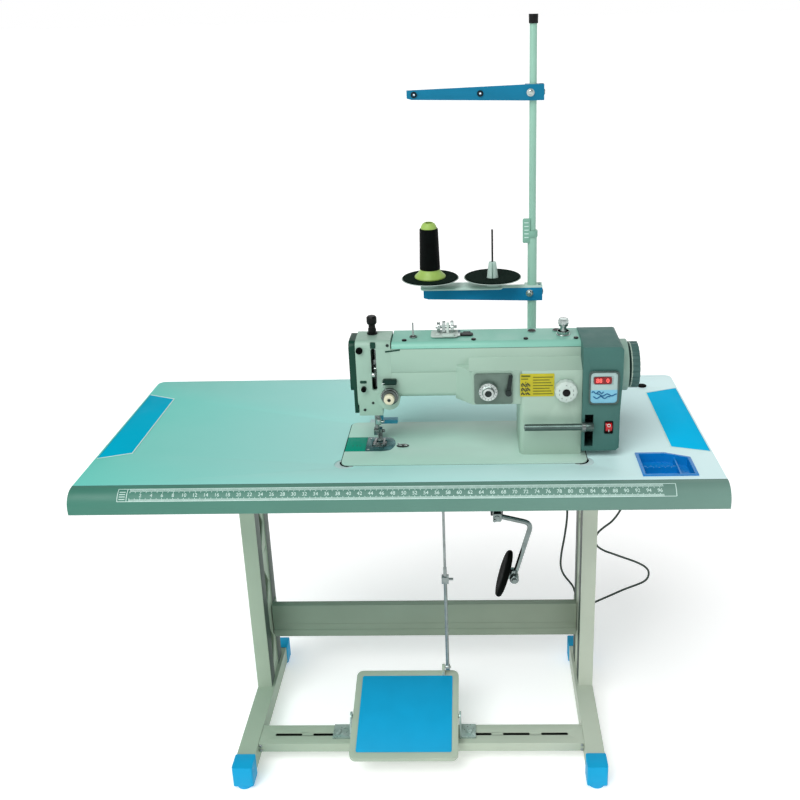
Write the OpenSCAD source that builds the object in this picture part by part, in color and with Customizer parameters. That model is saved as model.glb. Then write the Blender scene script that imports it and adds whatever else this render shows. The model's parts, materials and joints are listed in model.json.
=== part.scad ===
// Industrial zigzag lockstitch sewing machine on its table and stand.
// Millimetres, +Z up, X along the table, Y from the front edge to the back.
// Inside placed() a Y value is the distance behind the table's front edge.

/* [Table] */
// Width of the table top
table_w = 1200; // [1160:10:1300]
// Depth of the table top with its front moulding
table_d = 535; // [535:1:560]
// Thickness of the table top
table_t = 40; // [36:1:44]
// Height of the table's upper face above the floor
table_z = 765; // [750:1:800]
// Depth of the moulding along the front edge
moulding_d = 32; // [26:1:36]
// Height of the moulding along the front edge
moulding_h = 44; // [40:1:50]

/* [Stand] */
// Distance between the two leg frames
leg_spacing = 759; // [700:1:780]
// Offset of the stand from the middle of the table
stand_x = 13.5; // [0:0.5:20]
// Width of each floor tube
sled_w = 40; // [38:1:50]
// Width of the front and rear posts
post_w = 33; // [30:1:38]
// Height of the crossbeam
beam_h = 88; // [80:1:110]
// Number of slots in the pedal bar
slot_count = 8; // [6:1:8]
// Length of one slot in the pedal bar
slot_l = 60; // [50:1:64]
// Width of one slot in the pedal bar
slot_w = 8; // [7:0.5:10]

/* [Pedal] */
// Angle of the pedal at rest
pedal_angle = 17; // [14:1:20]
// Width of the pedal
pedal_w = 236; // [220:1:240]
// Length of the pedal
pedal_l = 211; // [200:1:215]

/* [Machine bed] */
// Length of the bed
bed_l = 468; // [460:1:470]
// Width of the bed
bed_w = 188; // [186:1:188]
// Corner radius of the bed
bed_r = 14; // [8:1:16]

/* [Arm] */
// Height of the arm's lower face above the floor
arm_low = 874; // [870:1:880]
// Height of the joint between arm and top cover
arm_high = 974; // [970:1:978]
// Radius of the main shaft
shaft_r = 8; // [7:0.5:9]
// Stroke of the needle bar
needle_stroke = 30; // [26:1:31]

/* [Hand wheel] */
// Radius of the hand wheel
wheel_r = 44.5; // [42:0.5:46]

/* [Thread stand] */
// Height of the thread stand's top above the floor
pole_top = 1570; // [1540:1:1600]
// Radius of the lower pole tube
pole_low_r = 10; // [9:0.5:11]
// Radius of the spool dishes
dish_r = 63; // [55:1:63]

/* [Lead] */
// Radius of the control lead
lead_r = 2.5; // [2:0.1:3]

/* [Hidden] */
$fn = 64;

fit = 0.05;      // radial clearance of every turning or sliding fit
through = 1;     // how far a cutting tool runs past the face it opens

// Table
table_low = table_z - table_t;
cut_x = [-114, 358];             // bed cut-out in the table
cut_y = [99.5, 293];
tray_x = [450, 552];
tray_y = [46, 138];
inlay_t = 1.2;
inlay_x = [535, 526];            // distance of the inlays' inner edges from the middle, left and right
grommet = [523, 470];
gland = [340, 405];              // X and Y where the control lead enters the junction box

// Stand
left_x = stand_x - leg_spacing / 2;
right_x = stand_x + leg_spacing / 2;
sled_y = [96, 496];
sled_z = [14, 56];
post_out = 3;                    // how far the posts stand outside the floor tubes' middles
post_front = [330, 368];
post_rear = [412, 450];
top_plate_t = 6;
beam_y = [400, 418];
beam_low = 147;
beam_x = [left_x - post_out + post_w / 2, right_x + post_out - post_w / 2];
bar_y = [152, 208];
bar_z = [33, 55];
bar_x = [left_x + sled_w / 2, right_x - sled_w / 2];
slot_pitch = 84.7;

// Pedal linkage
pedal_mid = -21;                 // X of the pedal's middle
pedal_pin = [196, 89];           // Y and Z of the pedal's pivot
rod_x = 72;
rod_pin = [293, 142.5];          // Y and Z of the pitman rod's lower pivot
rod_top = 620;
rod_clamp = 380;
lever_pin = [352, 640];          // Y and Z of the speed lever's pivot

// Machine head
bed_x = [-112, -112 + bed_l];
bed_y = [101, 101 + bed_w];
bed_z = [755, 767];
hinge_pin = [297, 759];          // Y and Z of the axis the head tilts on
hinge_x = [-60, 300];
arm_x = [-14, 346];
arm_y = [168, 253];
pillar_x = [229, 346];
pillar_y = [135, 262];
shaft = [192, 928];              // Y and Z of the main shaft
hook = [192, 738];               // Y and Z of the lower shaft
needle = [-46, 192];             // X and Y of the needle bar
presser = [-52, 214];            // X and Y of the presser bar
swing_z = 941;                   // height of the needle bar frame's pivot
face_x = [-81, -14];
face_y = [168, 240];
face_z = [838, 868, 990];
wall = 8;
motor_x = [346, 420];
motor_y = [122, 258];
motor_z = [780, 989];
collar = [435, 49.5];            // end in X and radius of the motor's collar
panel_x = [357, 412];
panel_z = [877, 943];
dial = [315, 902];               // X and Z of the stitch length dial
zigzag = [170, 903];             // X and Z of the zigzag width dial
zig_lever = [208, 898];
tension = [-18, 882];            // X and Z of the thread tension unit
reverse_pin = [165, 815];        // Y and Z of the reverse lever's axis
reverse_rod = [113, 834];
rocker = [128, 828.5];           // Y and Z of the rocker's axis
winder = [214, 1002];            // Y and Z of the bobbin winder spindle
belt_x = [280, 290];
low_pulley_r = 6.5;              // the upper pulley is twice as large
take_up = [180, 930];            // Y and Z of the take-up lever's pivot
lifter = [-50, 850];             // X and Z of the hand lifter's pivot
knee = [184, 652];               // X and Z of the knee lifter's axis

// Thread stand
pole = [273, 468];
pole_high_r = 7.5;
coupling_z = 1131;
guide_z = 1419;
spool_z = 994;
dish_z = 1016;
foam_z = 11;                     // height of the foam above the dish's foot
spool_pin_z = 1134;
spool_x = [51, 187];

// Route of the control lead, from the grommet under the table to the junction box
lead_route = [
    [523, 470, 724], [523, 470, 675], [521, 470, 615], [514, 470, 552], [503, 470, 493],
    [486, 470, 446], [468, 470, 417], [449, 470, 400], [435, 470, 385], [429, 470, 367],
    [434, 470, 349], [450, 470, 336], [473, 470, 326], [499.5, 470, 315], [520.5, 470, 306.5],
    [538, 470, 298], [551, 470, 289.5], [559.5, 470, 279], [561.5, 470, 267], [558, 470, 255],
    [549, 470, 246], [535, 470, 238.5], [504, 470, 225], [471, 470, 208], [440, 469, 193],
    [421, 467, 185], [406, 466, 183], [391.5, 463, 190], [384.5, 461, 202.5], [382.5, 459, 222],
    [376, 455, 245], [366, 448, 264], [356, 440, 282], [347, 432, 303], [342, 425, 329],
    [343, 417, 367], [349, 409, 420], [353, 405, 482], [348, 404, 580], [340, 405, 691]];

// ---------------------------------------------------------------- helpers
module placed() translate([0, -table_d / 2, 0]) children();

// Solid box from low to high limits on each axis
module block(x, y, z)
    translate([x[0], y[0], z[0]]) cube([x[1] - x[0], y[1] - y[0], z[1] - z[0]]);

// Flat rectangle with round corners
module round_rect(a, b, r) {
    translate([a[0] + r, b[0]]) square([a[1] - a[0] - 2 * r, b[1] - b[0]]);
    translate([a[0], b[0] + r]) square([a[1] - a[0], b[1] - b[0] - 2 * r]);
    for (x = [a[0] + r, a[1] - r], y = [b[0] + r, b[1] - r]) translate([x, y]) circle(r);
}

// Low and high limits, given as offsets from a centre
function span(centre, offsets) = [centre + offsets[0], centre + offsets[1]];

// A flat shape in Y and Z, drawn out along X
module along_x(x) translate([x[0], 0, 0]) rotate([90, 0, 90]) linear_extrude(x[1] - x[0]) children();

// A flat shape in X and Z, drawn out along Y
module along_y(y) translate([0, y[1], 0]) rotate([90, 0, 0]) linear_extrude(y[1] - y[0]) children();

// A flat shape in X and Y, drawn out along Z
module along_z(z) translate([0, 0, z[0]]) linear_extrude(z[1] - z[0]) children();

module rod_along_x(x, at, r) translate([x[0], at[0], at[1]]) rotate([0, 90, 0]) cylinder(x[1] - x[0], r = r);
module rod_along_y(y, at, r) translate([at[0], y[1], at[1]]) rotate([90, 0, 0]) cylinder(y[1] - y[0], r = r);
module rod_along_z(z, at, r) translate([at[0], at[1], z[0]]) cylinder(z[1] - z[0], r = r);

// Round bar between two points
module bar_between(a, b, r) {
    d = b - a;
    translate(a) rotate([0, acos(d[2] / norm(d)), atan2(d[1], d[0])]) cylinder(norm(d), r = r);
}

// ---------------------------------------------------------------- table
module bed_cutout() {
    round_rect(cut_x, cut_y, bed_r);
    for (x = cut_x) translate([x + (x < 0 ? 9 : -9), cut_y[0] + 9]) circle(20);
    for (x = hinge_x) translate([x - 16, cut_y[1] - 4]) square([32, 20]);
}

module inlay_outline(side) {
    inner = side < 0 ? inlay_x[0] : inlay_x[1];
    scale([side, 1]) polygon([[596, 143], [inner, 164], [inner, 430], [596, 455]]);
}

module tray_outline(inset) {
    polygon([[tray_x[0] + inset, tray_y[0] + inset], [tray_x[1] - inset, tray_y[0] + inset],
             [tray_x[1] - inset, tray_y[1] - 20 - inset / 2], [tray_x[1] - 46, tray_y[1] - inset],
             [tray_x[0] + inset, tray_y[1] - inset]]);
}

module table_top() color("PaleTurquoise") placed() {
    half = table_w / 2;
    difference() {
        along_z([table_low, table_z]) difference() {
            round_rect([-half, half], [moulding_d - 30, table_d], 16);
            translate([-half - through, -through]) square([table_w + 2 * through, moulding_d + through]);
            bed_cutout();
            translate(pole) circle(pole_low_r + fit);
            translate(grommet) circle(8);
        }
        for (side = [-1, 1])
            along_z([table_z - inlay_t, table_z + through]) inlay_outline(side);
        along_z([table_z - 18, table_z + through]) tray_outline(3);
    }
}

module front_moulding() color("CadetBlue") placed() {
    r = 30;
    edge = 4;
    low = table_z - moulding_h;
    along_x([-table_w / 2, table_w / 2]) {
        intersection() {
            translate([r, table_z - r]) circle(r);
            translate([0, table_z - r]) square([r, r]);
        }
        translate([0, low + edge]) square([r, moulding_h - r - edge]);
        translate([edge, low]) square([moulding_d - edge, edge]);
        translate([edge, low + edge]) circle(edge);
        translate([r, low]) square([moulding_d - r, moulding_h]);
    }
}

module side_inlays() color("DeepSkyBlue") placed()
    for (side = [-1, 1]) along_z([table_z - inlay_t, table_z + 0.3]) inlay_outline(side);

module parts_tray() color("DodgerBlue") placed() {
    floor_z = table_z - 18;
    difference() {
        union() {
            along_z([floor_z, table_z]) tray_outline(3);
            along_z([table_z, table_z + 2]) tray_outline(0);
        }
        difference() {
            along_z([floor_z + 2, table_z + 3]) tray_outline(6);
            block([453, 524], [88, 91], [floor_z, table_z - 5]);
            block([453, 524], [66, 69], [floor_z, table_z - 8]);
            block([521, 524], [49, 135], [floor_z, table_z - 3]);
        }
    }
}

module corner_cushions() color("DimGray") placed() {
    for (x = cut_x) {
        c = [x + (x < 0 ? 9 : -9), cut_y[0] + 9];
        difference() {
            rod_along_z([table_low, table_z - 1], c, 19.7);
            along_z([bed_z[0] - 0.3, table_z]) round_rect(cut_x, cut_y, bed_r);
            block([cut_x[0] + 8, cut_x[1] - 8], [cut_y[0] + 5, cut_y[1]], [table_low - 1, table_z]);
        }
    }
    for (x = hinge_x) difference() {
        block([x - 15.8, x + 15.8], [cut_y[1] + 0.2, cut_y[1] + 15.8], [table_low, table_z - 0.2]);
        block([x - 5.4, x + 5.4], [cut_y[1] - 1, cut_y[1] + 11], [table_low - 1, table_z]);
        rod_along_x([x - 12.4, x + 12.4], hinge_pin, 3.3);
    }
}

module oil_pan() color("DarkSlateGray") placed() {
    pan_z = 680;
    difference() {
        block([-120, 364], [92, 312], [pan_z, table_low]);
        block([-116, 360], [96, 308], [pan_z + 4, table_low + 1]);
    }
    difference() {
        block([knee[0] - 12, knee[0] + 12], [122, 190], [knee[1] - 11, pan_z]);
        rod_along_y([121, 191], knee, 6 + fit);
    }
}

// ---------------------------------------------------------------- stand
module leg(x, side) {
    difference() {
        block([x - sled_w / 2, x + sled_w / 2], sled_y, sled_z);
        block([x - sled_w / 2 + 2, x + sled_w / 2 - 2], [sled_y[0] - 1, sled_y[1] + 1], sled_z + [2, -2]);
    }
    post_x = span(x + side * post_out, [-post_w / 2, post_w / 2]);
    post_z = [sled_z[1], table_low - top_plate_t];
    for (p = [[post_front, 1], [post_rear, -1]]) difference() {
        block(post_x, p[0], post_z);
        // each post is a channel that opens towards the other post
        block(post_x + [2.5, -2.5], p[1] > 0 ? [p[0][0] + 2.5, p[0][1] + 1] : [p[0][0] - 1, p[0][1] - 2.5],
              post_z + [-1, 1]);
    }
    // web plate with triangular openings between the posts
    web = side < 0 ? [post_x[1] - 5, post_x[1] - 2.5] : [post_x[0] + 2.5, post_x[0] + 5];
    rises = [66, 226, 386, 546];
    along_x(web) difference() {
        translate([post_front[0] + 2.5, post_z[0]])
            square([post_rear[1] - post_front[0] - 5, post_z[1] - post_z[0]]);
        for (z = rises) {
            polygon([[366, z + 10], [366, z + 142], [410, z + 76]]);
            polygon([[414, z + 10], [414, z + 4], [380, z + 4]]);
        }
    }
    block(span(x + side * post_out, [-26, 26]), [300, 480], [table_low - top_plate_t, table_low]);
}

module left_leg() color("LightGray") placed() leg(left_x, -1);

module right_leg() color("LightGray") placed() leg(right_x, 1);

module crossbeam() color("LightGray") placed() {
    x = beam_x;
    t = 2.5;
    z = [beam_low, beam_low + beam_h];
    difference() {
        block(x, beam_y, z);
        block(x + [t, -t], [beam_y[0] + t, beam_y[1] + through], z + [t, -t]);
        // shallow groove along the front
        block(x + [-through, through], [beam_y[0] - through, beam_y[0] + 1], [z[0] + 19, z[0] + 36]);
    }
    // end flanges that bolt to the rear posts
    for (end = [[x[0], x[0] + t], [x[1] - t, x[1]]])
        block(end, [beam_y[1] - 1, post_rear[1] - 8], z + [t, -t]);
}

module pedal_bar() color("LightGray") placed() {
    t = 2.5;
    difference() {
        block(bar_x, bar_y, bar_z);
        block([bar_x[0] - 1, bar_x[1] + 1], bar_y + [t, -t], bar_z + [t, -t]);
        for (i = [0 : slot_count - 1]) {
            x = stand_x + (i - (slot_count - 1) / 2) * slot_pitch;
            along_z([bar_z[1] - t - 1, bar_z[1] + 1])
                round_rect([x - slot_l / 2, x + slot_l / 2], [180 - slot_w / 2, 180 + slot_w / 2], slot_w / 2 - 0.001);
        }
    }
}

module foot_caps() color("DeepSkyBlue") placed() {
    t = 2;
    for (x = [left_x, right_x], end = [0, 1]) {
        y = end == 0 ? [80, 120] : [474, 512];
        foot_y = end == 0 ? 99 : 493;
        difference() {
            along_z([9, sled_z[1] + t])
                round_rect([x - sled_w / 2 - t, x + sled_w / 2 + t], y, 4);
            block([x - sled_w / 2, x + sled_w / 2], end == 0 ? [sled_y[0], 121] : [473, sled_y[1]], sled_z);
        }
        rod_along_z([0, 9], [x, foot_y], 18);
    }
}

module stand_bolts() color("Silver") placed() {
    // crossbeam to the rear posts
    for (z = [beam_low + 22, beam_low + beam_h - 22]) {
        rod_along_x([beam_x[0] + 2.5, beam_x[0] + 9], [430, z], 6);
        rod_along_x([beam_x[1] - 9, beam_x[1] - 2.5], [430, z], 6);
    }
    // leg frames to the table
    for (x = [left_x - post_out, right_x + post_out], dx = [-16, 16], y = [312, 468])
        rod_along_z([table_low - top_plate_t - 4, table_low - top_plate_t], [x + dx, y], 5);
    // nuts of the thread stand
    for (z = [[table_z, table_z + 9], [table_low - 12, table_low]]) difference() {
        translate([pole[0], pole[1], z[0]]) cylinder(z[1] - z[0], r = 17, $fn = z[0] < table_z ? 6 : 64);
        rod_along_z(z + [-1, 1], pole, pole_low_r);
    }
}

module control_boxes() color("DimGray") placed() {
    // speed unit that the pitman rod works
    difference() {
        along_z([622, table_low]) round_rect([100, 192], [316, 396], 6);
        rod_along_x([99, 112], lever_pin, 5 + fit);
    }
    // junction box with its downward gland
    along_z([694, table_low]) round_rect(span(gland[0], [-22, 22]), span(gland[1], [-25, 25]), 5);
    difference() {
        union() {
            rod_along_z([686, 694], gland, 8);
            translate([gland[0], gland[1], 660]) cylinder(26, r1 = lead_r + 1.2, r2 = 6);
        }
        rod_along_z([650, 695], gland, lead_r + 0.1);
    }
}

module pedal_brackets() color("LightSteelBlue") placed()
    for (side = [-1, 1]) {
        edge = pedal_mid + side * (pedal_w / 2 + 2);
        plate = side < 0 ? [edge - 4, edge] : [edge, edge + 4];
        foot = side < 0 ? [edge - 42, edge] : [edge, edge + 36];
        pin = side < 0 ? [edge, edge + 10] : [edge - 10, edge];
        bolt = side < 0 ? edge - 31 : edge + 22;
        top = pedal_pin[1] + 4;
        block(foot, [166, 206], [bar_z[1], bar_z[1] + 4]);
        along_x(plate) polygon([[166, bar_z[1]], [206, bar_z[1]], [206, top], [186, top]]);
        rod_along_x(plate, pedal_pin, 11);
        rod_along_x(pin, pedal_pin, 4);
        rod_along_z([bar_z[1] + 4, bar_z[1] + 10], [bolt, 180], 6);
    }

// ---------------------------------------------------------------- pedal and its linkage
module on_pedal() translate([0, pedal_pin[0], pedal_pin[1]]) rotate([pedal_angle, 0, 0]) children();

pedal_x = [pedal_mid - pedal_w / 2, pedal_mid + pedal_w / 2];
pedal_y = [-100, pedal_l - 100];
rod_local = [(rod_pin[0] - pedal_pin[0]) * cos(pedal_angle) + (rod_pin[1] - pedal_pin[1]) * sin(pedal_angle),
             (rod_pin[1] - pedal_pin[1]) * cos(pedal_angle) - (rod_pin[0] - pedal_pin[0]) * sin(pedal_angle)];

module pedal_frame() color("LightGray") placed() on_pedal() {
    difference() {
        along_z([-6, 6]) round_rect(pedal_x, pedal_y, 14);
        along_z([-7, 0]) round_rect(pedal_x + [7, -7], pedal_y + [7, -7], 8);
        along_z([4, 7]) round_rect(pedal_x + [14, -14], pedal_y + [14, -14], 4);
        rod_along_x([pedal_x[0] - 1, pedal_x[1] + 1], [0, 0], 4 + fit);
    }
    arm = span(rod_x, [-13, -7]);
    along_x(arm) translate([pedal_y[1] - 14, 6]) square([13, rod_local[1] - 6]);
    rod_along_x(arm, rod_local, 7);
    rod_along_x(span(rod_x, [-7, 7]), rod_local, 3);
}

module pedal_mat() color("DeepSkyBlue") placed() on_pedal()
    along_z([4, 6.6]) round_rect(pedal_x + [14.2, -14.2], pedal_y + [14.2, -14.2], 4);

module pitman_rod() color("Silver") placed() {
    eye = span(rod_x, [-5, 5]);
    difference() {
        union() {
            rod_along_x(eye, rod_pin, 7);
            rod_along_z([rod_pin[1] + 5, rod_clamp + 30], [rod_x, rod_pin[0]], 4);
        }
        rod_along_x(eye + [-1, 1], rod_pin, 3 + fit);
    }
    rod_along_z([rod_clamp + 30, rod_top - 5], [rod_x, rod_pin[0]], 3);
    rod_along_x(eye, [rod_pin[0], rod_top], 7);
    block(span(rod_x, [-8, 8]), span(rod_pin[0], [-7, 7]), span(rod_clamp, [-8, 8]));
    rod_along_x(span(rod_x, [8, 18]), [rod_pin[0], rod_clamp], 3);
}

module speed_lever() color("DimGray") placed() {
    x = span(rod_x, [7, 12]);
    rod_along_x(x, lever_pin, 9);
    rod_along_x([x[1], 110], lever_pin, 5);
    rod_along_x(x, [rod_pin[0], rod_top], 7);
    along_x(x) polygon([[lever_pin[0], lever_pin[1] - 8], [lever_pin[0], lever_pin[1] + 8],
                        [rod_pin[0], rod_top + 6], [rod_pin[0], rod_top - 6]]);
    rod_along_x([x[0] - 1, x[0]], [rod_pin[0], rod_top], 4);
}

module knee_lifter() color("Gainsboro") placed() {
    y = 105;
    bend = [251, y, 634];
    knuckle = [217, y, 514];
    rod_along_y([92, 200], knee, 6);
    block([knee[0] - 8, knee[0] + 9], [94, 116], [knee[1] - 8, knee[1] + 9]);
    bar_between([knee[0] + 8, y, knee[1] - 1], bend, 5);
    translate(bend) sphere(5.5);
    bar_between(bend, knuckle, 5);
    rod_along_y([y - 13, y + 13], [knuckle[0], knuckle[2]], 9);
    bar_between(knuckle, knuckle + [-20, 0, 4], 6);
    translate([197, y, 521]) rotate([0, 15.5, 0]) rotate([0, 90, 0]) linear_extrude(12, center = true) {
        square([45, 60], center = true);
        for (side = [-1, 1]) translate([side * 22.5, 0]) circle(30);
    }
}

// ---------------------------------------------------------------- bed
slide_y = [156, 219];
slide_x = [bed_x[0] + 0.3, -72];
plate_z = [765.4, 767];

module needle_plate_outline(grow) {
    translate([slide_x[1] + 0.3, slide_y[0] - grow])
        square([-42 - slide_x[1], slide_y[1] - slide_y[0] + 2 * grow]);
    intersection() {
        translate([-42, slide_y[0] - grow]) square([40, slide_y[1] - slide_y[0] + 2 * grow]);
        translate([-42, slide_y[0] + 18]) circle(45 + grow);
        translate([-42, slide_y[1] - 18]) circle(45 + grow);
        translate([-60, 187.5]) circle(46 + grow);
    }
}

module bed_casting() color("DarkSeaGreen") placed() {
    difference() {
        union() {
            along_z(bed_z) round_rect(bed_x, bed_y, bed_r);
            block([-104, 348], [110, 281], [722, bed_z[0]]);
            // tongues of the rear hinge
            for (x = hinge_x) {
                block([x - 5, x + 5], [280, hinge_pin[0]], [755.5, 762]);
                rod_along_x([x - 5, x + 5], hinge_pin, 5);
                rod_along_x([x - 12, x + 12], hinge_pin, 3);
            }
        }
        // hollow underside, leaving two cross walls that carry the lower shaft
        block([-98, -32], [116, 275], [721, bed_z[0]]);
        block([-20, 308], [116, 275], [721, bed_z[0]]);
        block([320, 342], [116, 275], [721, bed_z[0]]);
        rod_along_x([-33, 325], hook, 6 + fit);
        // seats of the slide plate and the needle plate
        block([bed_x[0] - 1, slide_x[1] + 0.3], slide_y + [-0.2, 0.2], [765.2, 768]);
        along_z([plate_z[0], 768]) needle_plate_outline(0.1);
        // opening above the hook
        block([-98, -30], [163, 212], [750, 768]);
        // passage of the timing belt
        block([272, 298], [160, 224], [750, 768]);
    }
}

module needle_plate() color("LightSlateGray") placed() difference() {
    along_z(plate_z) needle_plate_outline(0);
    along_z([765, 768]) round_rect(span(needle[0], [-6.5, 6.5]), span(needle[1], [-1.8, 1.8]), 1.7);
    for (dx = [-14, 8]) block(span(needle[0], [dx, dx + 6]), span(needle[1], [-14, 11]), [765, 768]);
}

module slide_plate() color("LightSeaGreen") placed()
    block(slide_x, slide_y, plate_z);

module feed_dog() color("Silver") placed() {
    for (dx = [-13, 9]) block(span(needle[0], [dx, dx + 4]), span(needle[1], [-10, 7]), [757, 766.9]);
    block(span(needle[0], [-13, 13]), span(needle[1], [7, 15]), [756, 762]);
    block(span(needle[0], [-13, -9]), span(needle[1], [-10, 15]), [756, 758]);
    block(span(needle[0], [9, 13]), span(needle[1], [-10, 15]), [756, 758]);
}

module hook_shaft() color("Silver") placed() {
    rod_along_x([-62, 318], hook, 6);
    difference() {
        rod_along_x([-66, -52.5], hook, 16);
        rod_along_x([-67, -56], hook, 13.5);
    }
    rod_along_x(belt_x, hook, low_pulley_r);
}

module bobbin_case() color("DarkGray") placed() difference() {
    rod_along_x([-74, -63], hook, 13);
    rod_along_x([-75, -72], hook, 4);
}

// ---------------------------------------------------------------- arm
module pillar_outline(inset) {
    x = pillar_x + [inset, -inset];
    y = pillar_y + [inset, -inset];
    r = 10 - inset / 2;
    round_rect(x, y, r);
    translate([x[1] - r, y[0]]) square([r, y[1] - y[0]]);
}

module arm_casting() color("DarkSeaGreen") placed() {
    bulge_top = 940;
    difference() {
        union() {
            along_x(arm_x) round_rect(arm_y, [arm_low, arm_high + 12], 12);
            along_z([bed_z[1], bulge_top]) pillar_outline(0);
            along_z([872, bulge_top])
                polygon([[108, arm_y[0] + 2], [140, 137], [232, 137], [232, arm_y[0] + 2]]);
            // sloping shoulder between pillar and arm
            along_x([134, arm_x[1]])
                polygon([[136.5, bulge_top], [arm_y[0] + 1, 956], [arm_y[0] + 1, bulge_top]]);
        }
        block(arm_x + [-1, 1], [arm_y[0] - 2, arm_y[1] + 12], [arm_high, arm_high + 20]);
        // long groove in the front face
        block([arm_x[0] - 1, 128], [arm_y[0] - 1, arm_y[0] + 1], [926, 928]);
        // hollow arm between the bearing walls
        block([arm_x[0] - 1, 8], [arm_y[0] + wall, arm_y[1] - wall], [arm_low + wall, arm_high + 1]);
        block([22, 322], [arm_y[0] + wall, arm_y[1] - wall], [arm_low + wall, arm_high + 1]);
        block([334, arm_x[1] + 1], [arm_y[0] + wall, arm_y[1] - wall], [arm_low + wall, arm_high + 1]);
        rod_along_x([7, 335], shaft, 14);
        // hollow pillar
        along_z([bed_z[1] - 1, arm_low + wall + 1]) intersection() {
            pillar_outline(wall);
            translate([pillar_x[0], pillar_y[0]]) square([108, 200]);
        }
        block([150, 330], [pillar_y[0] + 7, arm_y[0] + 10], [882, 932]);
        // bores for the dial shafts and the reverse shaft
        rod_along_y([130, 145], dial, 5 + fit);
        rod_along_y([130, 146], zigzag, 5 + fit);
        rod_along_y([130, 146], zig_lever, 3 + fit);
        rod_along_x([330, 350], reverse_pin, 5 + fit);
    }
}

module top_cover() color("MediumAquamarine") placed() difference() {
    along_x([arm_x[0] + 2, arm_x[1]]) difference() {
        round_rect(arm_y, [arm_high - 12, arm_high + 12], 11.9);
        translate([arm_y[0] - 1, arm_high - 20]) square([100, 20]);
    }
    block([arm_x[0] + 8, arm_x[1] - 6], arm_y + [7, -7], [arm_high - 1, arm_high + 7]);
}

module shaft_bushes() color("DarkGoldenrod") placed() {
    for (x = [[8, 22], [322, 334]]) difference() {
        rod_along_x(x, shaft, 14);
        rod_along_x(x + [-1, 1], shaft, shaft_r + fit);
    }
    // presser bar bush in the face housing's floor
    difference() {
        rod_along_z([face_z[0] - 2, face_z[0] + wall], presser, 7);
        rod_along_z([face_z[0] - 3, face_z[0] + wall + 1], presser, 4 + fit);
    }
}

// ---------------------------------------------------------------- face end
module face_housing() color("DarkSeaGreen") placed() {
    lug_x = [[-60, -54], [-38, -32]];
    boss = [-20, 874];
    boss_r = 21;
    difference() {
        union() {
            along_x(face_x) round_rect(face_y, [face_z[1] - 12, face_z[2]], 12);
            block([-79, -34], [face_y[0], 226], [face_z[0], face_z[1] + 12]);
            // round boss that carries the tension unit, in front of the arm and under it
            rod_along_y([160, face_y[0]], boss, boss_r);
            intersection() {
                rod_along_y([160, 212], boss, boss_r);
                block([-36, 8], [159, 213], [840, arm_low]);
            }
        }
        block([-74, face_x[1] + 1], face_y + [wall, -wall], [face_z[1] + 7, face_z[2] - wall]);
        block([-72, -36], [face_y[0] + wall, 222.5], [face_z[0] + wall, face_z[2] - wall - 1]);
        // slot of the take-up lever
        along_y([face_y[0] - 2, face_y[0] + wall + 2]) round_rect([-52, -42], [890, 976], 4.5);
        // needle bar opening, presser bar bush and presser screw bores
        along_z([face_z[0] - 1, face_z[0] + wall + 1])
            round_rect(span(needle[0], [-10, 10]), span(needle[1], [-6, 6]), 5);
        rod_along_z([face_z[0] - 1, face_z[0] + wall + 1], presser, 7);
        rod_along_z([face_z[2] - wall - 2, face_z[2] + 1], presser, 6 + fit);
        // pivot bores of the needle bar frame and the hand lifter
        rod_along_y([face_y[1] - wall - 1, face_y[1] + 1], [needle[0], swing_z], 3 + fit);
        rod_along_y([220, 227], lifter, 4 + fit);
        rod_along_y([159, face_y[0] + wall + 1], tension, 3);
    }
    // lugs that carry the take-up lever's pin
    for (x = lug_x) difference() {
        block(x, [face_y[0] + wall - 0.5, take_up[0] + 5], span(take_up[1], [-5, 5]));
        rod_along_x(x + [-1, 1], take_up, 2 + fit);
    }
}

module face_cover() color("DarkGreen") placed() difference() {
    union() {
        along_x([-94, face_x[0]]) round_rect([170, 238], [886, 988], 14);
        along_x([-88, face_x[0]]) round_rect([170, 224], [840, 912], 8);
    }
    along_x([-91, face_x[0] + 1]) round_rect([174, 234], [890, 984], 10);
    along_x([-85, face_x[0] + 1]) round_rect([174, 220], [844, 908], 5);
}

module tension_unit() color("Silver") placed() {
    rod_along_y([139, 178], tension, 3);
    for (y = [[156, 160], [152, 153.5], [154, 155.5]]) difference() {
        rod_along_y(y, tension, y[0] > 155.9 ? 17 : 14);
        rod_along_y(y + [-1, 1], tension, 3);
    }
    // oblong thread guide above the tension unit
    along_y([158, 168]) round_rect([-31, -4], [905, 915], 3);
    // thread guide pin on the face
    rod_along_y([160, 168], [-68, 895], 5);
    rod_along_y([163, 168], [-73, 973], 6.5);
}

module needle_bar_frame() color("DimGray") placed() difference() {
    union() {
        for (z = [[856, 868], [935, 947]]) block(span(needle[0], [-6, 6]), [185.5, 204], z);
        block(span(needle[0], [-6, 6]), [198, 204], [856, 947]);
        rod_along_y([204, 238], [needle[0], swing_z], 3);
    }
    rod_along_z([850, 950], needle, 3.6 + fit);
}

module needle_bar() color("Silver") placed() {
    rod_along_z([815, 978], needle, 3.6);
    rod_along_z([808, 822], needle, 5);
    rod_along_z([790, 808], needle, 1);
    rod_along_z([777, 790], needle, 0.8);
    block(span(needle[0], [5, 9]), span(needle[1], [-2, 2]), [812, 816]);
}

module take_up_lever() color("Silver") placed() {
    x = [needle[0] - 2.5, needle[0] + 2.5];
    rod_along_x(x, take_up, 4.5);
    rod_along_x([-59, -33], take_up, 2);
    along_x(x) translate([take_up[0] - 28, take_up[1] - 2.5]) square([28, 5]);
    difference() {
        rod_along_x(x, take_up + [-30, 0], 4.5);
        rod_along_x(x + [-1, 1], take_up + [-30, 0], 2);
    }
}

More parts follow.
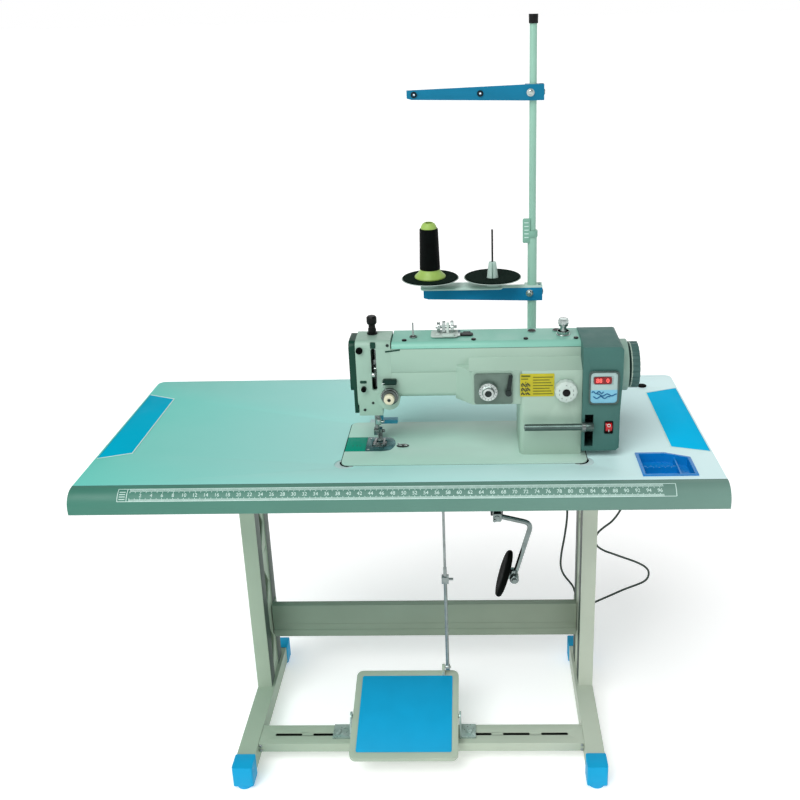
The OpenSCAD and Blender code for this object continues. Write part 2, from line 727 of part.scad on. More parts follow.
module presser_bar() color("Silver") placed() {
    foot_z = 767.4;
    rod_along_z([778, 924], presser, 4);
    block([-58, -42], [205, 220], [778, 790]);
    block([-50, -42], [203, 220], [foot_z, 778]);
    difference() {
        along_z([foot_z, foot_z + 2.6]) round_rect(span(needle[0], [-11, 11]), [172, 206], 4);
        along_z([foot_z - 1, foot_z + 4]) round_rect(span(needle[0], [-7.5, 7.5]), span(needle[1], [-4, 4]), 2);
    }
}

module presser_knob() color("Black") placed() {
    rod_along_z([face_z[2] - 14, face_z[2]], presser, 6);
    rod_along_z([face_z[2], face_z[2] + 12], presser, 8);
    rod_along_z([face_z[2] + 12, face_z[2] + 20], presser, 7);
    rod_along_z([face_z[2] + 20, face_z[2] + 37], presser, 9.5);
}

module hand_lifter() color("LightSeaGreen") placed() {
    rod_along_y([222.4, 226.4], lifter, 4);
    rod_along_y([226.4, 231], lifter, 5.5);
    along_y([226.4, 231]) polygon([[-56, 846], [-44, 846], [-40, 806], [-40, 794], [-54, 794]]);
    block([-54, -12], [226.4, 240], [793, 801]);
}

// ---------------------------------------------------------------- motor end
module motor_outline(inset) {
    x = motor_x + [inset, -inset];
    z = motor_z + [inset, -inset];
    polygon([[x[0], z[0]], [x[1] - 10, z[0]], [x[1] - 3.5, z[0] + 6], [x[1] - 3.5, 862],
             [x[1], 935], [x[1], z[1] - 6], [x[1] - 6, z[1]], [x[0], z[1]]]);
}

// The motor seen from its end, with its top rounded at the back
module motor_end(inset) {
    y = motor_y + [inset, -inset];
    z = motor_z + [inset, -inset];
    r = 25 - inset;
    translate([y[0], z[0]]) square([y[1] - y[0], z[1] - z[0] - r]);
    translate([y[0], z[0]]) square([y[1] - y[0] - r, z[1] - z[0]]);
    translate([y[1] - r, z[1] - r]) circle(r);
}

module motor_block(inset) intersection() {
    along_y(motor_y + [inset, -inset]) motor_outline(inset);
    along_x(motor_x + [inset, -inset]) motor_end(inset);
}

module motor_housing() color("DarkSlateGray") placed() difference() {
    union() {
        motor_block(0);
        rod_along_x([motor_x[1] - 8, collar[0]], shaft, collar[1]);
    }
    motor_block(4);
    rod_along_x([motor_x[1] - 9, collar[0] + through], shaft, 18);
    rod_along_x([motor_x[0] - 1, motor_x[0] + 5], shaft, 20);
    rod_along_x([motor_x[0] - 1, motor_x[0] + 5], reverse_pin, 7);
    // slot of the reverse lever
    block([351, 367], [motor_y[0] - 1, motor_y[0] + 5], [789, 855]);
    // seats of the rocker switch and the panel
    block([389.6, 402.4], [motor_y[0] - 1, motor_y[0] + 5], [817.5, 839.5]);
    along_y([motor_y[0] - 1, motor_y[0] + 5]) round_rect(panel_x + [4, -4], panel_z + [4, -4], 3);
}

module motor_stator() color("Chocolate") placed() difference() {
    rod_along_x([364, 404], shaft, 44);
    rod_along_x([363, 405], shaft, 31);
}

module control_panel() color("SkyBlue") placed() difference() {
    union() {
        along_y([motor_y[0] - 3, motor_y[0]]) round_rect(panel_x, panel_z, 7);
        along_y([motor_y[0], motor_y[0] + 4]) round_rect(panel_x + [4, -4], panel_z + [4, -4], 3);
    }
    along_y([motor_y[0] - 4, motor_y[0] - 1.5]) round_rect([364, 402], [917, 933], 2);
}

module main_shaft() color("Silver") placed() {
    rod_along_x([-30, 444], shaft, shaft_r);
    // needle bar crank with its counterweight
    rod_along_x([-30, -18], shaft, 15);
    // pulley of the timing belt
    rod_along_x(belt_x, shaft, 2 * low_pulley_r);
    // motor rotor
    rod_along_x([364, 404], shaft, 30);
}

module handwheel() color("DarkSlateGray") placed() difference() {
    union() {
        rod_along_x([424, 441], shaft, 15);
        rod_along_x([440, 456], shaft, wheel_r);
    }
    rod_along_x([423, 444], shaft, shaft_r);
    rod_along_x([452, 457], shaft, wheel_r - 12);
    for (a = [0 : 15 : 345]) translate([0, shaft[0], shaft[1]]) rotate([a, 0, 0])
        rod_along_x([439, 457], [wheel_r + 1.6, 0], 3);
}

module timing_belt() color("DarkSlateGray") placed() {
    t = 1.8;
    top_r = 2 * low_pulley_r + 0.3;
    low_r = low_pulley_r + 0.3;
    lean = asin((top_r - low_r) / (shaft[1] - hook[1]));
    difference() {
        along_x(belt_x + [1, -1]) belt_outline(top_r + t, low_r + t, lean);
        along_x(belt_x) belt_outline(top_r, low_r, lean);
    }
}

// Outline of a belt round the two pulleys
module belt_outline(top_r, low_r, lean) {
    translate(shaft) circle(top_r);
    translate(hook) circle(low_r);
    polygon([for (side = [-1, 1], end = side < 0 ? [0, 1] : [1, 0])
        (end == 0 ? shaft : hook) + (end == 0 ? top_r : low_r) * [side * cos(lean), sin(lean)]]);
}

module reverse_lever() color("Gainsboro") placed() {
    rod_along_x([238, 352], reverse_rod, 6.5);
    rod_along_x([352, 366], reverse_rod, 8.5);
    along_x([355, 363]) polygon([reverse_rod + [0, -6], reverse_rod + [0, 6],
                                 reverse_pin + [4, 7], reverse_pin + [-6, -7]]);
    rod_along_x([355, 363], reverse_pin, 8);
    rod_along_x([310, 355], reverse_pin, 5);
}

module power_switch() color("Red") placed() intersection() {
    rod_along_x([390, 402], rocker, 10);
    block([389, 403], [110, 127], [815, 842]);
}

// ---------------------------------------------------------------- dials and fittings
module regulator_plate() color("SlateGray") placed() difference() {
    along_y([134, 137]) round_rect([144, 216], [874, 935], 5);
    rod_along_y([133, 138], zigzag, 5 + fit);
    rod_along_y([133, 138], zig_lever, 3 + fit);
}

module dial_with_grip(at, face, back, r, grip_r) {
    rod_along_y([face + 7, back], at, r);
    rod_along_y([face, face + 7], at, grip_r);
}

module zigzag_dial() color("Silver") placed() {
    dial_with_grip(zigzag, 114, 133.6, 18, 11);
    rod_along_y([133.6, 160], zigzag, 5);
}

module zigzag_lever() color("Black") placed() {
    rod_along_y([126, 133.6], zig_lever, 6);
    rod_along_y([133.6, 160], zig_lever, 3);
    along_y([128, 132]) polygon([zig_lever + [-4, 2], zig_lever + [4, 2],
                                 zig_lever + [8, 35], zig_lever + [1, 35]]);
}

module stitch_dial() color("WhiteSmoke") placed() {
    dial_with_grip(dial, 116, 134.6, 21, 7);
    rod_along_y([134.6, 160], dial, 5);
}

module tension_knob() color("Ivory") placed() difference() {
    rod_along_y([138, 150], tension, 10);
    rod_along_y([137, 151], tension, 3 + fit);
}

cover_top = arm_high + 12;

module cover_fittings() color("Silver") placed() {
    for (x = [12, 144, 243, 338]) rod_along_z([cover_top, cover_top + 1.6], [x, 182], 4);
    // bobbin winder bracket
    block([68, 118], [198, 232], [cover_top, cover_top + 3]);
    difference() {
        block([84, 90], [202, 226], [cover_top + 3, cover_top + 24]);
        rod_along_x([83, 91], winder, 3 + fit);
    }
    // guide pin, oil caps and the upper thread nut
    rod_along_z([cover_top, cover_top + 3], [28, 200], 7);
    rod_along_z([cover_top + 3, cover_top + 30], [28, 200], 1.6);
    rod_along_z([cover_top, cover_top + 2], [257, 226], 8);
    rod_along_z([cover_top, cover_top + 2], [304, 228], 7);
    rod_along_z([cover_top, cover_top + 8], [316, 205], 11);
    rod_along_z([cover_top + 8, cover_top + 18], [316, 205], 6);
    rod_along_z([cover_top + 18, cover_top + 32], [316, 205], 9);
    block([124, 138], [222, 230], [cover_top, cover_top + 0.8]);
}

module winder_spindle() color("Silver") placed() {
    rod_along_x([71, 112], winder, 3);
    rod_along_x([74, 80], winder, 9);
    rod_along_x([100, 106], winder, 11);
}

// ---------------------------------------------------------------- thread stand
module thread_pole() color("Honeydew") placed() {
    difference() {
        rod_along_z([table_low - 20, coupling_z], pole, pole_low_r);
        rod_along_z([table_low - 21, coupling_z + 1], pole, pole_high_r + fit);
    }
    difference() {
        rod_along_z([coupling_z - 70, pole_top - 4], pole, pole_high_r);
        rod_along_z([coupling_z - 71, pole_top - 3], pole, pole_high_r - 1.5);
    }
}

module pole_fittings() color("SeaGreen") placed() {
    // clamp ring with its name tag
    difference() {
        union() {
            rod_along_z([coupling_z - 14, coupling_z], pole, pole_low_r + 1.5);
            along_y([pole[1] - 9, pole[1] - 6]) round_rect([252, 268], [1105, 1158], 3);
            block([257, 266], [pole[1] - 9, pole[1]], [coupling_z - 12, coupling_z - 2]);
        }
        rod_along_z([coupling_z - 30, coupling_z + 30], pole, pole_low_r);
    }
    // cap on the pole
    difference() {
        rod_along_z([pole_top - 18, pole_top], pole, pole_high_r + 2);
        rod_along_z([pole_top - 19, pole_top - 4], pole, pole_high_r);
    }
}

module arm_strip(x, z, tall, short) {
    along_y([pole[1] - 13, pole[1] - 10.5])
        polygon([[x, z - short / 2 + 2], [x + 10, z - short / 2 - 1], [pole[0] - 16, z - tall / 2],
                 [pole[0] - 16, z + tall / 2], [x, z + short / 2]]);
}

module arm_clamp(z, tall, r) difference() {
    block([pole[0] - 16, pole[0] + 22], [pole[1] - 13, pole[1] + 13], [z - tall / 2, z + tall / 2]);
    rod_along_z([z - tall, z + tall], pole, r + fit);
    block([pole[0] + 13, pole[0] + 19.5], [pole[1] - 10, pole[1] + 10], [z - tall, z + tall]);
}

module guide_arm() color("SteelBlue") placed() {
    arm_clamp(guide_z, 32, pole_high_r);
    difference() {
        arm_strip(15, guide_z, 32, 18);
        for (x = [30, 165]) rod_along_y([450, 460], [x, guide_z], 3);
    }
    for (x = [30, 165]) difference() {
        rod_along_y([453, 461], [x, guide_z], 5);
        rod_along_y([452, 462], [x, guide_z], 2);
    }
    rod_along_y([450, 455], [pole[0] - 6, guide_z], 5);
}

module spool_arm() color("SteelBlue") placed() {
    arm_clamp(spool_z, 34, pole_low_r);
    arm_strip(36, spool_z, 34, 20);
    rod_along_y([450, 455], [pole[0] - 6, spool_z], 5);
    block([40, pole[0] - 16], [pole[1] - 13, pole[1] + 13], [spool_z + 10, spool_z + 12.5]);
    // carrier plate with a boss under each dish, and the spool pins with their slotted holders
    along_z([spool_z + 12.5, spool_z + 15.5]) round_rect([30, 208], [pole[1] - 26, pole[1] + 26], 10);
    for (x = spool_x) {
        rod_along_z([spool_z + 15.5, dish_z], [x, pole[1]], 17);
        rod_along_z([dish_z, spool_pin_z], [x, pole[1]], 2);
        difference() {
            translate([x, pole[1], dish_z]) cylinder(46, r1 = 14, r2 = 8);
            rod_along_z([dish_z - 1, dish_z + 47], [x, pole[1]], 2);
            // slots between the holder's fins, which stop at the core round the pin
            difference() {
                block([x - 1.7, x + 1.7], [pole[1] - 15, pole[1] + 15], [dish_z + 8, dish_z + 47]);
                rod_along_z([dish_z + 7, dish_z + 48], [x, pole[1]], 3.5);
            }
        }
    }
}

module spool_discs() color("DimGray") placed()
    for (x = spool_x) translate([x, pole[1], dish_z]) rotate_extrude() {
        translate([14.2, 0]) square([dish_r - 34, foam_z]);
        translate([14.2, foam_z]) square([dish_r - 14.2, 3]);
        translate([dish_r - 4, foam_z - 1]) square([4, 5]);
    }

module thread_cone() color("YellowGreen") placed()
    translate([spool_x[0], pole[1], dish_z + foam_z + 3.2]) rotate_extrude()
        polygon([[31, 0], [34, 0], [34, 4], [27, 14], [24, 18], [20, 107], [19.5, 115], [12, 121.8],
                 [8, 121.8], [8, 118], [14, 111], [17, 97], [21, 14]]);

// ---------------------------------------------------------------- control lead
module cable_grommet() color("DimGray") placed() {
    difference() {
        union() {
            rod_along_z([table_low, table_z], grommet, 8);
            rod_along_z([table_z, table_z + 2], grommet, 10);
            rod_along_z([table_low - 6, table_low], grommet, 10);
            translate([grommet[0], grommet[1], table_low - 32]) cylinder(26, r1 = lead_r + 1.2, r2 = 6);
        }
        rod_along_z([table_low - 40, table_low - 0.9], grommet, lead_r + 0.1);
    }
}

lead_sides = 8;
lead_steps = 2;

// Point on the smooth curve through four successive route points
function between(a, b, c, d, t) =
    0.5 * (2 * b + (c - a) * t + (2 * a - 5 * b + 4 * c - d) * t * t
           + (3 * b - a - 3 * c + d) * t * t * t);

function clamped(i) = lead_route[min(max(i, 0), len(lead_route) - 1)];

lead_path = [for (i = [0 : len(lead_route) - 2], s = [0 : lead_steps - 1])
                between(clamped(i - 1), clamped(i), clamped(i + 1), clamped(i + 2), s / lead_steps),
             lead_route[len(lead_route) - 1]];

function unit(v) = v / norm(v);
function heading(i) = unit(lead_path[min(i + 1, len(lead_path) - 1)] - lead_path[max(i - 1, 0)]);

// The side direction is carried along the path without twisting
function sides_from(i, side) = i >= len(lead_path) ? []
    : let (across = unit(side - (side * heading(i)) * heading(i))) concat([across], sides_from(i + 1, across));

module control_lead() color("DimGray") placed() {
    across = sides_from(0, [1, 0, 0]);
    n = len(lead_path);
    rings = [for (i = [0 : n - 1], k = [0 : lead_sides - 1])
        let (a = 360 * k / lead_sides, other = cross(heading(i), across[i]))
        lead_path[i] + lead_r * (cos(a) * across[i] + sin(a) * other)];
    walls = [for (i = [0 : n - 2], k = [0 : lead_sides - 1])
        let (next = (k + 1) % lead_sides)
        [i * lead_sides + k, (i + 1) * lead_sides + k, (i + 1) * lead_sides + next, i * lead_sides + next]];
    ends = [[for (k = [0 : lead_sides - 1]) k],
            [for (k = [lead_sides - 1 : -1 : 0]) (n - 1) * lead_sides + k]];
    polyhedron(rings, concat(walls, ends), convexity = 10);
}

table_top();
front_moulding();
side_inlays();
parts_tray();
corner_cushions();
oil_pan();
left_leg();
right_leg();
crossbeam();
pedal_bar();
foot_caps();
stand_bolts();
control_boxes();
pedal_brackets();
thread_pole();
pole_fittings();
cable_grommet();
bed_casting();
arm_casting();
top_cover();
face_housing();
face_cover();
needle_plate();
motor_housing();
motor_stator();
control_panel();
regulator_plate();
shaft_bushes();
tension_unit();
cover_fittings();
bobbin_case();
timing_belt();
slide_plate();
main_shaft();
handwheel();
needle_bar_frame();
needle_bar();
take_up_lever();
presser_bar();
presser_knob();
hand_lifter();
hook_shaft();
feed_dog();
reverse_lever();
stitch_dial();
zigzag_dial();
zigzag_lever();
tension_knob();
winder_spindle();
power_switch();
knee_lifter();
pedal_frame();
pedal_mat();
pitman_rod();
speed_lever();
guide_arm();
spool_arm();
spool_discs();
thread_cone();
control_lead();
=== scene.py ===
import json
import math

import bmesh
import bpy
from mathutils import Matrix, Vector


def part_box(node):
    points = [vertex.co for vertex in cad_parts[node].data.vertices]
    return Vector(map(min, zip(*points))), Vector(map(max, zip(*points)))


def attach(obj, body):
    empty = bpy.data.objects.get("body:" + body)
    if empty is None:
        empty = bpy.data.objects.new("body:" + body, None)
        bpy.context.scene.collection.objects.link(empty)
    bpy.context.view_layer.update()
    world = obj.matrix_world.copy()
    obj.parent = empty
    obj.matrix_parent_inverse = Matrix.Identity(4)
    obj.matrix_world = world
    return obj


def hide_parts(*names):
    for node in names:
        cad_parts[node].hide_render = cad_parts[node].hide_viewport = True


# An industrial zigzag sewing machine on its table and stand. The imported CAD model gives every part
# that moves; this script gives its parts their materials, and adds or replaces the finer pieces.
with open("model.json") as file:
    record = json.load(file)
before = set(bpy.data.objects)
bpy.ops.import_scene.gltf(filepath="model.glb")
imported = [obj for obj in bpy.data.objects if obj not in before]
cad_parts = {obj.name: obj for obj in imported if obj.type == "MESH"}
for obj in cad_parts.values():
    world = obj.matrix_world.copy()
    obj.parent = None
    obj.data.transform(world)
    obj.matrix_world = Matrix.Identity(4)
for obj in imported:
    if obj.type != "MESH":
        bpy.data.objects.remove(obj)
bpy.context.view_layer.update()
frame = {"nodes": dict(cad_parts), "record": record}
NODES = frame["nodes"]

MM = 0.001
# The part's source measures Y from the table's front edge, in millimetres, and so does this script.
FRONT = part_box("front_moulding")[0].y
TO_FRAME = Matrix.Translation((0, FRONT, 0)) @ Matrix.Scale(MM, 4)


def srgb(code):
    """A linear colour from an sRGB code such as "#64c6b9"."""
    parts = [int(code[i:i + 2], 16) / 255 for i in (1, 3, 5)]
    linear = (c / 12.92 if c <= 0.04045 else ((c + 0.055) / 1.055) ** 2.4 for c in parts)
    return tuple(linear) + (1,)


# ---------------------------------------------------------------- camera, light and floor
def add_camera():
    data = bpy.data.cameras.new("camera")
    data.sensor_width = 36
    data.lens = 40.86
    data.shift_x = -0.0637
    data.shift_y = -0.0968
    data.clip_end = 900
    camera = bpy.data.objects.new("camera", data)
    place = Vector((0.14697, -1.70894, 1.57045))
    forward = Vector((-0.0263, 0.9469, -0.3203)).normalized()
    right = Vector((0.9995, 0.0199, -0.0230))
    right = (right - right.dot(forward) * forward).normalized()
    up = right.cross(forward)
    camera.matrix_world = Matrix((
        (right.x, up.x, -forward.x, place.x),
        (right.y, up.y, -forward.y, place.y),
        (right.z, up.z, -forward.z, place.z),
        (0, 0, 0, 1),
    ))
    bpy.context.scene.collection.objects.link(camera)
    bpy.context.scene.camera = camera


def add_light(name, kind, place, aim, power, colour, size, depth=None):
    """A sun, whose size is its angle, or a rectangular area light of size by depth metres."""
    data = bpy.data.lights.new(name, kind)
    data.energy = power
    data.color = colour
    if kind == "SUN":
        data.angle = size
    else:
        data.shape = "RECTANGLE"
        data.size = size
        data.size_y = depth
    lamp = bpy.data.objects.new(name, data)
    lamp.location = place
    lamp.rotation_mode = "QUATERNION"
    lamp.rotation_quaternion = (Vector(aim) - Vector(place)).to_track_quat("-Z", "Y")
    bpy.context.scene.collection.objects.link(lamp)


def add_world():
    """Soft white surroundings, brightest in a band at the horizon."""
    world = bpy.data.worlds.new("studio")
    world.use_nodes = True
    bpy.context.scene.world = world
    nodes, links = world.node_tree.nodes, world.node_tree.links
    coords = nodes.new("ShaderNodeTexCoord")
    split = nodes.new("ShaderNodeSeparateXYZ")
    height = nodes.new("ShaderNodeMath")
    height.operation = "ABSOLUTE"
    band = nodes.new("ShaderNodeMapRange")
    for end, value in (("From Min", 0.20), ("From Max", 0.45), ("To Min", 1.0), ("To Max", 0.30)):
        band.inputs[end].default_value = value
    links.new(coords.outputs["Generated"], split.inputs[0])
    links.new(split.outputs["Z"], height.inputs[0])
    links.new(height.outputs[0], band.inputs["Value"])
    links.new(band.outputs[0], nodes["Background"].inputs["Strength"])
    nodes["Background"].inputs["Color"].default_value = (1.0, 1.0, 1.0, 1)


def add_studio():
    add_world()
    bpy.context.scene.view_settings.view_transform = "Standard"
    middle = (0, 0, 0.7)
    add_light("sun", "SUN", (-1.0, -1.9, 3.6), middle, 1.9, (1.0, 1.0, 0.99), 0.7)
    add_light("key", "AREA", (-1.8, -2.2, 2.6), middle, 10, (0.96, 1.0, 0.98), 1.6, 1.2)
    add_light("back", "AREA", (0.8, 2.6, 2.6), middle, 10, (1.0, 1.0, 1.0), 2.0, 1.2)
    mesh = bpy.data.meshes.new("floor")
    reach = 400
    corners = [(-reach, -reach, 0), (reach, -reach, 0), (reach, reach, 0), (-reach, reach, 0)]
    mesh.from_pydata(corners, [], [(0, 1, 2, 3)])
    floor = bpy.data.objects.new("floor", mesh)
    bpy.context.scene.collection.objects.link(floor)
    pale = bpy.data.materials.new("floor_pale")
    pale.use_nodes = True
    shader = pale.node_tree.nodes["Principled BSDF"]
    shader.inputs["Base Color"].default_value = (0.95, 0.95, 0.95, 1)
    shader.inputs["Roughness"].default_value = 0.9
    shader.inputs["Specular IOR Level"].default_value = 0.1
    shader.inputs["Emission Color"].default_value = (1, 1, 1, 1)
    shader.inputs["Emission Strength"].default_value = 0.3
    mesh.materials.append(pale)


add_camera()
add_studio()


# ---------------------------------------------------------------- materials
HALF_WIDTH = 0.6        # of the table, in metres
GRAIN_DEPTH = 0.0006    # in metres


class Surface:
    """A material's node tree, with short calls for the nodes used here."""

    def __init__(self, name):
        self.material = bpy.data.materials.new(name)
        self.material.use_nodes = True
        self.nodes = self.material.node_tree.nodes
        self.links = self.material.node_tree.links
        self.shader = self.nodes["Principled BSDF"]
        self.place = self.add("ShaderNodeTexCoord").outputs["Object"]
        self.split = self.add("ShaderNodeSeparateXYZ", {0: self.place}).outputs

    def add(self, kind, inputs=None, **settings):
        """A new node; each input is a value, or another node's output to link to."""
        node = self.nodes.new(kind)
        for key, value in settings.items():
            setattr(node, key, value)
        for key, value in (inputs or {}).items():
            if isinstance(value, bpy.types.NodeSocket):
                self.links.new(value, node.inputs[key])
            else:
                node.inputs[key].default_value = value
        return node

    def noise(self, scale, detail=3.0, stretch=None):
        """Noise over the object's own coordinates, finer along the axes that stretch enlarges."""
        place = self.place
        if stretch:
            place = self.add("ShaderNodeMapping", {"Vector": place, "Scale": stretch}).outputs[0]
        inputs = {"Vector": place, "Scale": scale, "Detail": detail}
        return self.add("ShaderNodeTexNoise", inputs).outputs[0]

    def mix(self, factor, a, b):
        return self.add("ShaderNodeMix", {0: factor, 6: a, 7: b}, data_type="RGBA").outputs[2]

    def spread(self, value, low, high, start=0.0, stop=1.0):
        """Takes a value between start and stop to one between low and high."""
        ends = {"Value": value, "From Min": start, "From Max": stop, "To Min": low, "To Max": high}
        return self.add("ShaderNodeMapRange", ends).outputs[0]

    def math(self, operation, a, b):
        return self.add("ShaderNodeMath", {0: a, 1: b}, operation=operation).outputs[0]

    def inside(self, limits):
        """1 inside a box of source millimetres, {"x": (low, high), ...}, and 0 outside it."""
        mask = None
        for axis, (low, high) in limits.items():
            shift = FRONT if axis == "y" else 0
            value = self.split["xyz".index(axis)]
            above = self.math("GREATER_THAN", value, low * MM + shift)
            below = self.math("LESS_THAN", value, high * MM + shift)
            part = self.math("MULTIPLY", above, below)
            mask = part if mask is None else self.math("MULTIPLY", mask, part)
        return mask


def shade(colour, factor):
    """A lighter or darker colour."""
    return tuple(min(1.0, c * factor) for c in colour[:3]) + (1,)


def surface(name, colour, rough=0.4, metal=0.0, vary=0.07, patch=14, bump=0.06, grain=700,
            stretch=None, coat=0.0, spec=0.3, across=None, regions=(), glow=None):
    """A procedural finish: colour that varies in patches, uneven gloss and a fine grain.

    vary and patch are how much and how finely the colour varies. bump, grain and stretch are the
    grain's strength, fineness and direction. regions are pairs of a box and the colour painted in
    it;
    some of these boxes are painted shade. With across, the colour changes gently from the left end
    of
    the table to the right end: painted light, lighter towards the right end.
    """
    s = Surface(name)
    base = srgb(colour)
    # painted light: the colour grows lighter from the table's left end to its right end
    if across:
        along = s.spread(s.split[0], 0, 1, -HALF_WIDTH, HALF_WIDTH)
        base = s.mix(along, base, srgb(across))
        tint = s.spread(s.noise(patch), 1 - vary, 1 + vary, 0.3, 0.7)
        base = s.add("ShaderNodeVectorMath", {0: base, "Scale": tint}, operation="SCALE").outputs[0]
    else:
        tint = s.spread(s.noise(patch), 0, 1, 0.3, 0.7)
        base = s.mix(tint, shade(base, 1 - vary), shade(base, 1 + vary))
    for limits, other in regions:
        base = s.mix(s.inside(limits), base, srgb(other))
    s.links.new(base, s.shader.inputs["Base Color"])
    gloss = s.noise(patch * 3, stretch=stretch)
    uneven = s.spread(gloss, max(rough - 0.07, 0.03), rough + 0.09, 0.25, 0.75)
    s.links.new(uneven, s.shader.inputs["Roughness"])
    grains = s.noise(grain, 2.0, stretch)
    relief = s.add("ShaderNodeBump", {"Strength": bump, "Distance": GRAIN_DEPTH, "Height": grains})
    s.links.new(relief.outputs[0], s.shader.inputs["Normal"])
    s.shader.inputs["Metallic"].default_value = metal
    s.shader.inputs["Coat Weight"].default_value = coat
    s.shader.inputs["Coat Roughness"].default_value = 0.12
    s.shader.inputs["Specular IOR Level"].default_value = spec
    if glow:
        s.shader.inputs["Emission Color"].default_value = srgb(glow)
        s.shader.inputs["Emission Strength"].default_value = 1.2
    return s.material


BRUSHED = (1.0, 1.0, 14.0)
SPOOLS = (51, 187)
# Boxes that a finish paints in a colour of their own: painted shade inside the pedal bar and on
# the posts' inner faces, and a painted shade line at the table's front edge above the moulding.
BAR_INSIDE_SHADE = {"x": (-345.9, 372.9), "y": (154.3, 205.7), "z": (35, 52.6)}
LEFT_POST_SHADE = {"x": (-352.9, -352.2), "y": (333, 480), "z": (56.5, 718)}
RIGHT_POST_SHADE = {"x": (379.2, 379.9), "y": (333, 480), "z": (56.5, 718)}
MOULDING_EDGE_SHADE = {"y": (31.9, 33.6)}
